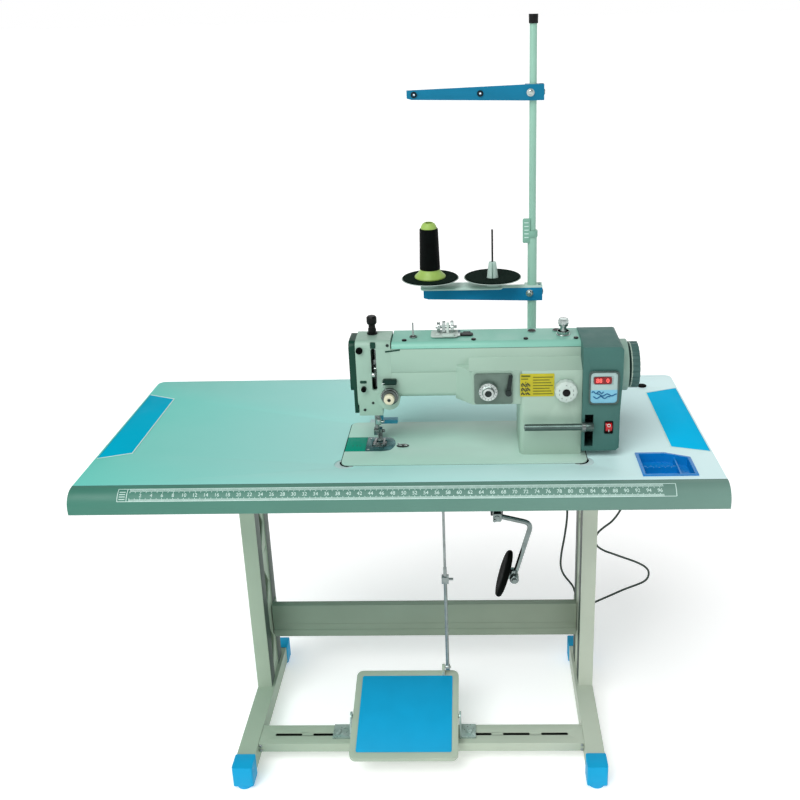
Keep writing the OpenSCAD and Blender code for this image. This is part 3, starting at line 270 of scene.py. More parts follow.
# Each finish's name, and what surface() needs for it.
# Where a finish has across, that is painted light: it grows lighter towards the table's right end.
LOOKS = {
    # laminate's box is a painted shade line at the table's front edge, where the moulding curves
    # over.
    "laminate": dict(colour="#64c6b9", rough=0.42, across="#daf4f6", vary=0.012, patch=3,
                     bump=0.03, regions=[(MOULDING_EDGE_SHADE, "#2c5a54")]),
    "moulding": dict(colour="#3e7a6a", rough=0.45, across="#68897f", vary=0.03, patch=10,
                     bump=0.1),
    "blue_plastic": dict(colour="#0a9ccd", rough=0.45, vary=0.03, patch=20, bump=0.1, grain=900,
                         spec=0.15),
    "inlay_print": dict(colour="#00a7c6", rough=0.6, across="#08bdf0", vary=0.02, patch=9,
                        bump=0.05, grain=900, spec=0.02),
    "tray_plastic": dict(colour="#057cc6", rough=0.3, vary=0.06, patch=25, coat=0.1),
    "cushion": dict(colour="#9dbdb8", rough=0.6, vary=0.1, patch=60, bump=0.2, across="#c3d8da"),
    "rubber": dict(colour="#030504", rough=0.6, vary=0.2, patch=70, bump=0.25, spec=0.03),
    "pan_plastic": dict(colour="#22302f", rough=0.5, vary=0.1, patch=12, bump=0.2),
    # stand_paint's boxes are painted shade: inside the pedal bar, and on the posts' inner faces.
    "stand_paint": dict(colour="#90a692", rough=0.45, across="#bac2b3", vary=0.04, patch=9,
                        bump=0.12, grain=1100, spec=0.2, regions=[(BAR_INSIDE_SHADE, "#16201c"),
                        (RIGHT_POST_SHADE, "#2b3d33"), (LEFT_POST_SHADE, "#42524a")]),
    "beam_paint": dict(colour="#6f8777", rough=0.5, across="#929d8c", vary=0.04, patch=9,
                       bump=0.12, grain=1100, spec=0.2),
    "bracket_zinc": dict(colour="#9fb3ad", rough=0.3, metal=0.55, vary=0.15, patch=60),
    "zinc": dict(colour="#8f9897", rough=0.32, metal=0.9, vary=0.15, patch=70, bump=0.1,
                 stretch=BRUSHED),
    "box_plastic": dict(colour="#1a2022", rough=0.5, vary=0.12, patch=20, bump=0.3, grain=1500,
                        spec=0.2),
    "pole_tube": dict(colour="#8ebba9", rough=0.35, vary=0.05, patch=9, coat=0.15),
    "head_paint": dict(colour="#7ba897", rough=0.4, across="#acc1b2", vary=0.025, patch=8,
                       bump=0.05, grain=500, coat=0.1),
    "bed_paint": dict(colour="#8cc6b6", rough=0.4, across="#bdd6ca", vary=0.025, patch=8,
                      bump=0.05, grain=500, coat=0.1),
    # cover_paint's box is a painted shade line along the cover's lower edge, where it meets the arm.
    "cover_paint": dict(colour="#78bca9", rough=0.4, across="#86bdad", vary=0.025, patch=8,
                        bump=0.05, coat=0.1, regions=[({"z": (973, 974.9)}, "#1f3f38")]),
    "dark_cover": dict(colour="#06392b", rough=0.35, vary=0.1, patch=20, spec=0.2),
    "plate_steel": dict(colour="#3f6f70", rough=0.25, metal=0.6, vary=0.25, patch=60,
                        stretch=(1, 12, 1)),
    "slide_paint": dict(colour="#048a73", rough=0.45, vary=0.06, patch=30, spec=0.05),
    "lifter_blue": dict(colour="#3a98b3", rough=0.34, vary=0.08, patch=40),
    "motor_paint": dict(colour="#3f6963", rough=0.45, vary=0.05, patch=12, bump=0.15, grain=1300,
                        spec=0.2, regions=[({"x": (419.8, 436.5)}, "#8aa79b")]),
    # wheel_paint's first box is painted shade: the hub goes near black, for the shade in the gap
    # between the collar and the rim.
    "wheel_paint": dict(colour="#3f605c", rough=0.42, vary=0.08, patch=30, bump=0.12,
                        regions=[({"x": (400, 439.9)}, "#0a0f0f"),
                        ({"x": (440, 442)}, "#9fb3a6")]),
    "copper_winding": dict(colour="#9a5a30", rough=0.35, metal=0.7, vary=0.25, patch=80,
                           stretch=(20, 1, 1), bump=0.5),
    "panel_face": dict(colour="#9db6b4", rough=0.3, vary=0.05, patch=25, coat=0.2,
                       regions=[({"z": (870, 906)}, "#74b4cc")]),
    "regulator_metal": dict(colour="#65786f", rough=0.36, metal=0.45, vary=0.12, patch=40,
                            stretch=(1, 1, 10)),
    "bronze": dict(colour="#a5803c", rough=0.3, metal=0.9, vary=0.15, patch=60),
    "chrome": dict(colour="#b4bfbc", rough=0.14, metal=1.0, vary=0.25, patch=45, bump=0.03),
    "steel": dict(colour="#7b8583", rough=0.24, metal=0.95, vary=0.2, patch=60, stretch=BRUSHED),
    "rod_steel": dict(colour="#7c8886", rough=0.2, metal=1.0, vary=0.2, patch=60, bump=0.03),
    "lever_steel": dict(colour="#4c5e5a", rough=0.3, metal=0.75, vary=0.15, patch=60,
                        stretch=BRUSHED),
    "dark_steel": dict(colour="#2a3432", rough=0.3, metal=0.7, vary=0.2, patch=60),
    "black_plastic": dict(colour="#050707", rough=0.35, vary=0.3, patch=50, bump=0.12, spec=0.2),
    "white_plastic": dict(colour="#b9c9c2", rough=0.4, vary=0.05, patch=50),
    "cream_plastic": dict(colour="#d3d1b6", rough=0.35, vary=0.06, patch=60),
    "red_plastic": dict(colour="#b3121a", rough=0.25, vary=0.1, patch=60, coat=0.4),
    "arm_blue": dict(colour="#0c7295", rough=0.42, vary=0.06, patch=16, bump=0.08, spec=0.15),
    "spool_carrier": dict(colour="#0e77a3", rough=0.42, vary=0.06, patch=16, bump=0.08, spec=0.15,
                          regions=[({"z": (1006.3, 1200)}, "#b5cfc6")]
                          + [({"x": (x - 3, x + 3), "z": (1062.2, 1140)}, "#101414")
                             for x in SPOOLS]),
    "disc_foam": dict(colour="#0d1e18", rough=0.9, vary=0.4, patch=200, bump=0.8, grain=1800,
                      spec=0.05),
    "cone_plastic": dict(colour="#98b85c", rough=0.4, vary=0.06, patch=50),
    "thread": dict(colour="#020605", rough=0.6, vary=0.5, patch=90, stretch=(1, 1, 26), bump=0.9,
                   grain=260, spec=0.08),
    "lead_jacket": dict(colour="#39443f", rough=0.5, vary=0.12, patch=40, bump=0.15),
    "print_white": dict(colour="#c9e4dd", rough=0.5, vary=0.06, patch=60),
    "print_dark": dict(colour="#1c2a2a", rough=0.5, vary=0.1, patch=60),
    "label_yellow": dict(colour="#b3ab22", rough=0.45, vary=0.08, patch=40),
    "print_olive": dict(colour="#5d6318", rough=0.5, vary=0.1, patch=60),
    "print_blue": dict(colour="#1d5c86", rough=0.4, vary=0.1, patch=60),
    "led": dict(colour="#ff6a66", rough=0.3, vary=0.05, patch=60, glow="#ff5a50"),
    "led_glass": dict(colour="#7a0d14", rough=0.2, vary=0.1, patch=60, coat=0.3),
    "pole_fittings": dict(colour="#080b0b", rough=0.4, vary=0.1, patch=40, spec=0.2,
                          regions=[({"z": (1000, 1200)}, "#7fae9c")]),
    "tension_parts": dict(colour="#59625f", rough=0.2, metal=0.95, vary=0.3, patch=50,
                          regions=[({"x": (-90, -55)}, "#060808"),
                          ({"z": (903, 917)}, "#1e3630")]),
    "cover_parts": dict(colour="#9aa6a3", rough=0.18, metal=0.9, vary=0.25, patch=50,
                        regions=[({"y": (177, 187)}, "#0c2320"), ({"x": (123, 139)}, "#0f1a18")]),
}
FINISH = {name: surface(name, **look) for name, look in LOOKS.items()}

# Nodes whose finish isn't the one named by their material slot.
OWN_FINISH = {
    "corner_cushions": "cushion", "handwheel": "wheel_paint", "spool_arm": "spool_carrier",
    "pole_fittings": "pole_fittings", "tension_unit": "tension_parts",
    "cover_fittings": "cover_parts", "reverse_lever": "lever_steel",
    "hand_lifter": "lifter_blue", "crossbeam": "beam_paint", "side_inlays": "inlay_print",
    "bed_casting": "bed_paint", "pedal_brackets": "bracket_zinc", "zigzag_lever": "dark_steel",
}
# Widths of the rounded edges, in millimetres.
BEVEL = {
    "table_top": 0.8, "arm_casting": 1.6, "bed_casting": 0.6, "motor_housing": 1.5,
    "face_housing": 1.2, "face_cover": 1.2, "left_leg": 0.9, "right_leg": 0.9, "crossbeam": 0.9,
    "pedal_bar": 0.9, "pedal_frame": 1.5, "foot_caps": 1.2, "guide_arm": 0.5, "spool_arm": 0.5,
}
FINE_BEVEL = 0.35
SOFTEN_OFF = ("control_lead", "timing_belt", "front_moulding")


def node_group(name):
    """An empty group of geometry nodes, with its calls for a new node and a new link."""
    group = bpy.data.node_groups.new(name, "GeometryNodeTree")
    for way in ("INPUT", "OUTPUT"):
        group.interface.new_socket("Geometry", in_out=way, socket_type="NodeSocketGeometry")
    return group, group.nodes.new, group.links.new


def join_corners_group():
    """Joins the CAD mesh's split corners and drops the normals that came with them."""
    group, new, link = node_group("join_corners")
    plain = new("GeometryNodeRemoveAttribute")
    plain.inputs["Name"].default_value = "custom_normal"
    link(new("NodeGroupInput").outputs[0], plain.inputs["Geometry"])
    merge = new("GeometryNodeMergeByDistance")
    merge.inputs["Distance"].default_value = SAME_PLACE
    link(plain.outputs[0], merge.inputs["Geometry"])
    link(merge.outputs[0], new("NodeGroupOutput").inputs[0])
    return group


def smooth_angle_group():
    """Shades every face smooth, and keeps the edges that are sharper than SHARP."""
    group, new, link = node_group("smooth_angle")
    sharp = new("FunctionNodeCompare")
    sharp.data_type = "FLOAT"
    sharp.operation = "GREATER_THAN"
    sharp.inputs[1].default_value = SHARP
    link(new("GeometryNodeInputMeshEdgeAngle").outputs[0], sharp.inputs[0])
    faces = new("GeometryNodeSetShadeSmooth")
    faces.domain = "FACE"
    link(new("NodeGroupInput").outputs[0], faces.inputs["Geometry"])
    edges = new("GeometryNodeSetShadeSmooth")
    edges.domain = "EDGE"
    edges.inputs["Shade Smooth"].default_value = False
    link(faces.outputs[0], edges.inputs["Geometry"])
    link(sharp.outputs[0], edges.inputs["Selection"])
    link(edges.outputs[0], new("NodeGroupOutput").inputs[0])
    return group


SAME_PLACE = 0.00001
SHARP = math.radians(34)
JOIN_CORNERS = join_corners_group()
SMOOTH_ANGLE = smooth_angle_group()


def soften(obj, width):
    """Rounds the sharp edges a little, by a width in millimetres, so that they catch the light."""
    if width:
        bevel = obj.modifiers.new("edges", "BEVEL")
        bevel.width = width * MM
        bevel.segments = 2
        bevel.limit_method = "ANGLE"
        bevel.angle_limit = SHARP
    obj.modifiers.new("smooth", "NODES").node_group = SMOOTH_ANGLE


def dress_cad():
    """Gives every CAD node its finish and its softened edges."""
    for entry in frame["record"]["subparts"]:
        node = entry["node"]
        obj = NODES[node]
        material = FINISH[OWN_FINISH.get(node, entry["material_slot"])]
        for slot in obj.material_slots:
            slot.material = material
        obj.modifiers.new("join", "NODES").node_group = JOIN_CORNERS
        soften(obj, 0 if node in SOFTEN_OFF else BEVEL.get(node, FINE_BEVEL))


dress_cad()


# ---------------------------------------------------------------- mesh helpers
AXES = {"x": lambda t, a, b: (t, a, b), "y": lambda t, a, b: (a, t, b),
        "z": lambda t, a, b: (a, b, t)}


def full_turn(count):
    """Angles all the way round, in equal steps."""
    return [2 * math.pi * k / count for k in range(count)]


class Shape:
    """A mesh in the source's millimetres, put together from lofted forms."""

    def __init__(self):
        self.bm = bmesh.new()

    def loft(self, rings, ends=True):
        """A skin over rings of points, with flat ends or else closed on itself."""
        rows = [[self.bm.verts.new(p) for p in ring] for ring in rings]
        pairs = list(zip(rows, rows[1:])) + ([] if ends else [(rows[-1], rows[0])])
        for low, high in pairs:
            for i, _ in enumerate(low):
                j = (i + 1) % len(low)
                self.bm.faces.new((low[i], low[j], high[j], high[i]))
        if ends:
            self.bm.faces.new(rows[0][::-1])
            self.bm.faces.new(rows[-1])
        return self

    def prism(self, axis, span, outline):
        """An outline pulled along an axis."""
        return self.loft([[AXES[axis](t, a, b) for a, b in outline] for t in span])

    def box(self, x, y, z):
        return self.prism("z", z, [(x[0], y[0]), (x[1], y[0]), (x[1], y[1]), (x[0], y[1])])

    def turned(self, axis, middle, profile, sides=48, hollow=False, ribs=0, depth=0.0):
        """A turned form; profile is (along, radius), and ribs make the radius rise and fall."""
        rings = []
        for t, r in profile:
            ring = []
            for a in full_turn(sides):
                reach = r + (depth * math.cos(ribs * a) if ribs and r > 2 * depth else 0)
                across, up = middle[0] + reach * math.cos(a), middle[1] + reach * math.sin(a)
                ring.append(AXES[axis](t, across, up))
            rings.append(ring)
        return self.loft(rings, not hollow)

    def tube(self, path, radius, sides=14):
        """A round rod along a path."""
        path = [Vector(p) for p in path]
        side = Vector((0, 1, 0))
        rings = []
        for i, p in enumerate(path):
            ahead = (path[min(i + 1, len(path) - 1)] - path[max(i - 1, 0)]).normalized()
            side = (side - side.dot(ahead) * ahead).normalized()
            other = ahead.cross(side)
            rings.append([p + radius * (math.cos(a) * side + math.sin(a) * other)
                          for a in full_turn(sides)])
        return self.loft(rings)

    def text(self, words, size, place, depth=0.2):
        """Raised figures facing the operator, centred on a place."""
        data = bpy.data.curves.new("figures", "FONT")
        data.body = words
        data.size = size
        data.align_x = "CENTER"
        data.align_y = "CENTER"
        data.extrude = depth / 2
        holder = bpy.data.objects.new("figures", data)
        mesh = bpy.data.meshes.new_from_object(holder)
        mesh.transform(Matrix.Translation(place) @ Matrix.Rotation(math.radians(90), 4, "X"))
        self.bm.from_mesh(mesh)
        bpy.data.objects.remove(holder)
        bpy.data.curves.remove(data)
        bpy.data.meshes.remove(mesh)
        return self


def rounded(a, b, r, steps=5):
    """Outline of a rectangle with round corners."""
    points = []
    corners = ((a[1] - r, b[1] - r, 0), (a[0] + r, b[1] - r, 90), (a[0] + r, b[0] + r, 180),
               (a[1] - r, b[0] + r, 270))
    for x, y, turn in corners:
        for k in range(steps + 1):
            angle = math.radians(turn + 90 * k / steps)
            points.append((x + r * math.cos(angle), y + r * math.sin(angle)))
    return points


def piece(name, shape, body, finish, bevel=0.0, replaces=()):
    """Makes an object of a shape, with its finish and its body."""
    bmesh.ops.recalc_face_normals(shape.bm, faces=shape.bm.faces)
    mesh = bpy.data.meshes.new(name)
    shape.bm.to_mesh(mesh)
    shape.bm.free()
    mesh.transform(TO_FRAME)
    mesh.materials.append(FINISH[finish])
    obj = bpy.data.objects.new(name, mesh)
    bpy.context.scene.collection.objects.link(obj)
    soften(obj, bevel)
    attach(obj, body)
    if replaces:
        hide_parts(*replaces)
    return obj


# ---------------------------------------------------------------- control lead
# The route is the source's own, from the grommet in the table to the gland of the junction box.
LEAD_RADIUS = 2.5
LEAD_ROUTE = [
    (523, 470, 724), (523, 470, 675), (521, 470, 615), (514, 470, 552), (503, 470, 493),
    (486, 470, 446), (468, 470, 417), (449, 470, 400), (435, 470, 385), (429, 470, 367),
    (434, 470, 349), (450, 470, 336), (473, 470, 326), (499.5, 470, 315), (520.5, 470, 306.5),
    (538, 470, 298), (551, 470, 289.5), (559.5, 470, 279), (561.5, 470, 267), (558, 470, 255),
    (549, 470, 246), (535, 470, 238.5), (504, 470, 225), (471, 470, 208), (440, 469, 193),
    (421, 467, 185), (406, 466, 183), (391.5, 463, 190), (384.5, 461, 202.5), (382.5, 459, 222),
    (376, 455, 245), (366, 448, 264), (356, 440, 282), (347, 432, 303), (342, 425, 329),
    (343, 417, 367), (349, 409, 420), (353, 405, 482), (348, 404, 580), (340, 405, 691)]


def smooth_path(points, steps):
    """Points on the smooth curve that passes through all the given ones."""
    points = [Vector(p) for p in points]
    last = len(points) - 1
    path = []
    for i in range(last):
        a, b = points[max(i - 1, 0)], points[i]
        c, d = points[i + 1], points[min(i + 2, last)]
        for step in range(steps):
            t = step / steps
            path.append(0.5 * (2 * b + (c - a) * t + (2 * a - 5 * b + 4 * c - d) * t * t
                               + (3 * b - a - 3 * c + d) * t * t * t))
    return path + [points[last]]


def add_control_lead():
    route = smooth_path(LEAD_ROUTE, 6)
    lead = piece("control_lead_jacket", Shape().tube(route, LEAD_RADIUS), "stand",
                 "lead_jacket", replaces=("control_lead",))


add_control_lead()


# ---------------------------------------------------------------- table
TABLE_Z = 765
NOSE_RADIUS = 30
BED_X = (-112, 356)
BED_FRONT = 101
BED_RADIUS = 14


def add_ruler():
    """The printed scale, drawn flat with Z as the way up the nose and then wrapped onto it."""
    lines = Shape()
    y = (-0.3, 0.15)
    x, z = (-508, 503), (13.7, 37.9)
    zero, tick, ticks, figures = x[0] + 22, 2, 484, 49
    for edge in z:
        lines.box(x, y, (edge - 0.5, edge + 0.5))
    # the upright lines are in short lengths, so that they can bend with the nose
    steps = [z[0] + (z[1] - z[0]) * k / 6 for k in range(7)]
    for edge in (x[0], x[0] + 17, x[1]):
        for low, high in zip(steps, steps[1:]):
            lines.box((edge - 0.6, edge + 0.6), y, (low, high))
    for k in range(ticks):
        place = zero + tick * k
        tall = 8.5 if k % 5 == 0 else 6.2
        lines.box((place - 0.5, place + 0.5), y, (z[1] - tall, z[1]))
        lines.box((place - 0.5, place + 0.5), y, (z[0], z[0] + tall * 0.65))
    for k in range(1, figures):
        lines.text(str(2 * k), 9.4, (zero + 10 * tick * k, -0.1, 24.2), 0.3)
    for k in range(4):
        lines.box((x[0] + 3, x[0] + 14), y, (17 + 4.5 * k, 18.4 + 4.5 * k))
    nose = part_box("table_top")[1].z / MM - NOSE_RADIUS
    for vertex in lines.bm.verts:
        angle, reach = vertex.co.z / NOSE_RADIUS, NOSE_RADIUS - vertex.co.y
        vertex.co.y = NOSE_RADIUS - reach * math.cos(angle)
        vertex.co.z = nose + reach * math.sin(angle)
    piece("ruler_marks", lines, "stand", "print_white")


def add_inlay_edges():
    """A pale line round each corner inlay, left out at the table's end."""
    table_end, width = 596, 2.2
    low, high = TABLE_Z + 0.1, TABLE_Z + 0.7
    for side, inner, name in ((-1, 535, "left"), (1, 526, "right")):
        outline = [(table_end, 143), (inner, 164), (inner, 430), (table_end, 455)]
        middle = Vector((sum(p[0] for p in outline) / 4, sum(p[1] for p in outline) / 4))
        rings = []
        for grow, z in ((0.0, low), (0.0, high), (width, high), (width, low)):
            ring = []
            for p in outline:
                off = Vector(p) - middle
                if p[0] != table_end:
                    off.x += math.copysign(grow, off.x)
                off.y += math.copysign(grow, off.y)
                ring.append((side * (middle.x + off.x), middle.y + off.y, z))
            rings.append(ring)
        edge = Shape().loft(rings, ends=False)
        piece(f"inlay_edge_{name}", edge, "stand", "print_white")


def add_bed_gap():
    """Painted shadow: a dark strip for the gap's shade round the bed's front and sides, laid low
    between bed and table.
    """
    gap = Shape()
    z = (TABLE_Z - 1.4, TABLE_Z - 0.4)
    back, outer, inner = 284, 17.6, 14.5
    gap.box((BED_X[0] + BED_RADIUS, BED_X[1] - BED_RADIUS), (BED_FRONT - 1.3, BED_FRONT - 0.4), z)
    turns = [math.radians(a) for a in range(176, 276, 7)]
    for edge, side in zip(BED_X, (-1, 1)):
        strip = sorted((edge + side * 0.4, edge + side * 1.9))
        gap.box(strip, (BED_FRONT + BED_RADIUS, back), z)
        x, y = edge - side * BED_RADIUS, BED_FRONT + BED_RADIUS
        ring = [(outer, a) for a in turns] + [(inner, a) for a in turns[::-1]]
        corner = [(x - side * r * math.cos(a), y + r * math.sin(a)) for r, a in ring]
        gap.prism("z", z, corner)
    piece("bed_gap_shadow", gap, "stand", "rubber")


def add_stand_bolts():
    """Four bolt heads at the ends of the pedal bar."""
    (left, y, low), (right, _, high) = (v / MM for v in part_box("pedal_bar"))
    y -= FRONT / MM
    bolts = Shape()
    inset = 5
    for x in (left + inset, right - inset):
        for z in (low + inset, high - inset):
            bolts.turned("y", (x, z), [(y - 2.6, 2.4), (y - 1.6, 3.8), (y + 0.4, 3.8)], 6)
    piece("pedal_bar_bolts", bolts, "stand", "zinc", 0.3)


def add_tray_detail():
    """The scalloped edge of the tray."""
    scallop = Shape()
    for k in range(6):
        scallop.turned("y", (461 + 11 * k, 757.5), [(88.2, 5.4), (90.8, 5.4)], 20)
    piece("tray_scallops", scallop, "stand", "tray_plastic", 0.3)


add_ruler()
add_inlay_edges()
add_tray_detail()
add_stand_bolts()
add_bed_gap()


# ---------------------------------------------------------------- thread stand
POLE = (273, 468)
GUIDE_Z = 1419
DISH_Z = 1016
FOAM_Z = 11     # above the dish's foot


def add_spools():
    """The two dishes with their foam discs."""
    z, rim = DISH_Z, DISH_Z + FOAM_Z
    dish_profile = [
        (z + 0.2, 14.4), (z + 0.2, 26), (z + 6, 40), (rim - 1.4, 57), (rim + 0.2, 61.8),
        (rim + 1.2, 62.9), (rim + 1.8, 62.3), (rim - 0.4, 57.4), (z + 8, 42), (z + 3, 27),
        (z + 3, 14.4)]
    foam_profile = [
        (z + 4.5, 15), (z + 3.2, 27), (z + 8.4, 42), (rim + 0.2, 57), (rim + 2.4, 60.4),
        (rim + 3.4, 60.4), (rim + 3.9, 59.2), (rim + 3.3, 50), (rim + 3.0, 30), (rim + 2.6, 17),
        (rim + 1.6, 15)]
    for x, name in zip(SPOOLS, ("left", "right")):
        middle = (x, POLE[1])
        dish = Shape().turned("z", middle, dish_profile, 72, hollow=True)
        piece(f"spool_dish_{name}", dish, "lower_arm", "white_plastic")
        foam = Shape().turned("z", middle, foam_profile, 72, hollow=True)
        pad = piece(f"foam_disc_{name}", foam, "lower_arm", "disc_foam",
                    replaces=("spool_discs",) if name == "left" else ())


def add_cone():
    """The plastic cone and the thread wound on it."""
    middle = (SPOOLS[0], POLE[1])
    z = DISH_Z + FOAM_Z + 3.3
    body = Shape().turned("z", middle, [
        (z, 30.5), (z, 33.6), (z + 2.2, 34), (z + 4, 33.2), (z + 9, 27.6), (z + 15, 22.8),
        (z + 21, 20.4), (z + 108, 17.6), (z + 113, 16.6), (z + 118.5, 13.4), (z + 121.2, 9.6),
        (z + 120.6, 8), (z + 114, 9.5), (z + 104, 14.6), (z + 20, 18.4), (z + 6, 24)],
        64, hollow=True)
    piece("cone_body", body, "cone", "cone_plastic", replaces=("thread_cone",))
    steps, start, tall = 102, z + 19, 88
    profile = [(z + 18, 20.8)]
    for k in range(steps + 1):
        along = start + tall * k / steps
        radius = 22.2 - 2.4 * (along - start) / tall
        profile.append((along, radius + (0.28 if k % 3 == 1 else 0)))
    profile += [(z + 108.5, 18.8), (z + 108.5, 17.7), (z + 60, 19.0)]
    wound = Shape().turned("z", middle, profile, 56, hollow=True)
    piece("cone_thread", wound, "cone", "thread")


def add_arm_fittings():
    """Clamp screws on both arms, the guide arm's eyelets and the plain lines of the name tag."""
    x, y = POLE
    for z, body, name in ((GUIDE_Z, "upper_arm", "guide"), (994, "lower_arm", "spool")):
        screw = Shape()
        screw.turned("y", (x - 6, z), [(447.6, 3.4), (448.6, 5.4), (450.4, 5.8), (455, 5.8)], 24)
        screw.turned("y", (x - 6, z), [(453.6, 8.0), (454.9, 8.0)], 32)
        screw.turned("x", (y, z), [(x + 20.5, 6.2), (x + 24.5, 6.2)], 6)
        piece(f"{name}_arm_screw", screw, body, "chrome", 0.3)
    rings = Shape()
    for eyelet in (30, 165):
        rings.turned("y", (eyelet, GUIDE_Z), [
            (451.6, 3.2), (451.6, 5.6), (453.4, 6.4), (455.4, 6.4), (461.4, 5.2), (461.4, 2.4)],
            32, hollow=True)
    piece("guide_eyelets", rings, "upper_arm", "black_plastic")
    tag = Shape()
    for k in range(5):
        tag.box((255.5, 264.5), (458.6, 459.1), (1116 + 8 * k, 1118 + 8 * k))
    piece("tag_lines", tag, "stand", "print_white")


add_spools()
add_cone()
add_arm_fittings()


# ---------------------------------------------------------------- machine head
COVER_Z = 986


def add_label():
    """The yellow label, with plain lines and an abstract patch."""
    plate = Shape().prism("y", (134.5, 135.1), rounded((230, 294), (888, 934), 2))
    piece("label_plate", plate, "head", "label_yellow")
    print_y = (134.2, 134.6)
    lines = Shape()
    for k in range(7):
        lines.box((254, 291 - 3 * (k % 3)), print_y, (892.5 + 5.6 * k, 894.2 + 5.6 * k))
    lines.box((232, 249), print_y, (927.5, 931))
    lines.box((232, 245), print_y, (922.5, 924.5))
    piece("label_lines", lines, "head", "print_olive")
    dark = Shape()
    size = 1.9
    for i in range(9):
        for j in range(14):
            if (3 * i * i + 5 * j + i * j * 7 + j * j) % 5 < 3:
                x, z = 232 + size * i, 891.5 + size * j
                dark.box((x, x + size * 0.92), print_y, (z, z + size * 0.92))
    piece("label_patch", dark, "head", "print_dark")


def raised_rim(x, z, radius, profile, steps=5, rounder=0.0):
    """A rim round a rectangle with round corners; profile is (how far it grows, y)."""
    rings = []
    for grow, y in profile:
        outline = rounded((x[0] - grow, x[1] + grow), (z[0] - grow, z[1] + grow),
                          radius + grow * rounder, steps)
        rings.append([(a, y, b) for a, b in outline])
    return Shape().loft(rings, ends=False)


def add_panel():
    """The control panel's rim, window, figures and plain waves."""
    profile = ((0.0, 121.8), (0.6, 118.4), (-0.6, 117.6), (-2.6, 118.0), (-2.8, 121.0))
    rim = raised_rim((357, 412), (877, 943), 7, profile)
    piece("panel_rim", rim, "head", "lever_steel")
    glass = Shape().prism("y", (117.9, 119.6), rounded((365.5, 398.5), (918, 932), 3.2))
    piece("panel_window", glass, "head", "led_glass", 0.3)
    digits = Shape()
    for words, x in (("88", 375), ("0", 391)):
        digits.text(words, 11.5, (x, 117.8, 924.6), 0.3)
    piece("panel_digits", digits, "head", "led")
    waves = Shape()
    for k, (low, high) in enumerate(((362, 384), (372, 408), (365, 396))):
        path = []
        for t in range(13):
            height = 901 - 5 * k + 2.2 * math.sin(t * 1.1 + k)
            path.append((low + (high - low) * t / 12, 118.8, height))
        waves.tube(path, 1.1, 8)
    piece("panel_waves", waves, "head", "print_blue")


def add_switch_bezel():
    """The rocker switch's bezel, and the ring and line on its rocker."""
    profile = ((0.0, 124.0), (2.2, 122.0), (2.0, 120.8), (0.5, 120.4), (0.1, 121.6))
    bezel = raised_rim((389.7, 402.3), (817.6, 839.4), 1.2, profile, steps=3, rounder=0.5)
    piece("switch_bezel", bezel, "head", "black_plastic")
    mark = Shape()
    y = (118.1, 119.6)
    ring = [(y[0], 2.2), (y[0], 3.1), (y[1], 3.1), (y[1], 2.2)]
    mark.turned("y", (396, 833.6), ring, 24, hollow=True)
    mark.box((395.6, 396.4), y, (820.5, 825.5))
    piece("switch_marks", mark, "switch", "print_white")


def add_length_dial():
    """The stitch length dial: a ribbed ring with figures on a square hub."""
    x, z = 315, 902
    ring = Shape().turned("y", (x, z), [
        (116.4, 7.6), (117.2, 15.2), (117.6, 17.6), (119.4, 20.4), (124, 21.2), (131, 21.2),
        (134.5, 20.4), (134.5, 5.3), (120.4, 5.3), (116.8, 6.8)],
        120, hollow=True, ribs=12, depth=0.45)
    piece("length_dial_ring", ring, "length_dial", "white_plastic",
          replaces=("stitch_dial",))
    hub = Shape().prism("y", (114.6, 121), rounded((x - 5, x + 5), (z - 5, z + 5), 1.2))
    hub.turned("y", (x, z), [(134.4, 5), (160, 5)], 32)
    hub.turned("y", (x, z), [(116.2, 7.4), (120.5, 7.4)], 32)
    piece("length_dial_hub", hub, "length_dial", "black_plastic", 0.3)
    figures = Shape()
    for k in range(9):
        a = math.radians(90 - 36 * k)
        place = (x + 13.4 * math.cos(a), 117.2, z + 13.4 * math.sin(a))
        figures.text(str(k), 5.4, place, 0.5)
    piece("length_dial_figures", figures, "length_dial", "print_dark")


def add_width_dial():
    """The zigzag width dial: a finely ribbed knob with marks round its skirt."""
    x, z = 170, 903
    knob = Shape().turned("y", (x, z), [
        (133.4, 18), (122.4, 18), (121.4, 17.2), (121.2, 12.2), (120.6, 11.4), (115.2, 11.2),
        (114, 10.2), (113.8, 6.4), (115, 5.8), (133.4, 5.2)],
        96, hollow=True, ribs=32, depth=0.3)
    piece("width_dial_knob", knob, "width_dial", "chrome", replaces=("zigzag_dial",))
    core = Shape().turned("y", (x, z), [(114.9, 5.9), (160, 5)], 32)
    core.box((x - 5, x + 5), (114.2, 115.2), (z - 1, z + 1))
    piece("width_dial_core", core, "width_dial", "dark_steel")
    marks = Shape()
    for k in range(16):
        a = math.radians(22.5 * k)
        ends = [(x + r * math.cos(a), 121.2, z + r * math.sin(a)) for r in (14, 16.6)]
        marks.tube(ends, 0.35, 6)
    piece("width_dial_marks", marks, "width_dial", "print_dark")


def add_tension_detail():
    """The tension unit's ribbed nut, the tip of its stud, and the check spring."""
    x, z = -18, 882
    nut = Shape().turned("y", (x, z), [
        (138, 5.6), (138.4, 8.4), (139.4, 9.8), (147.4, 10), (149.4, 9.2), (149.9, 6),
        (149.9, 3.3), (138.6, 3.3)],
        96, hollow=True, ribs=24, depth=0.3)
    piece("tension_nut_ring", nut, "tension_nut", "cream_plastic",
          replaces=("tension_knob",))
    cap = Shape().turned("y", (x, z), [(137.4, 1.6), (137.8, 3.0), (139.2, 3.0)], 24)
    piece("tension_stud_tip", cap, "head", "dark_steel")
    coil = [(x + 15.5 * math.cos(t * 0.26), 155.2 + 0.02 * t, z + 15.5 * math.sin(t * 0.26))
            for t in range(20)]
    hook = [(x - 6, 156, z + 14), (x - 13, 157, z + 20), (x - 14, 157.4, z + 26),
            (x - 10, 157.6, z + 27)]
    spring = Shape().tube(coil, 0.55, 8).tube(hook, 0.55, 8)
    piece("check_spring", spring, "head", "chrome")


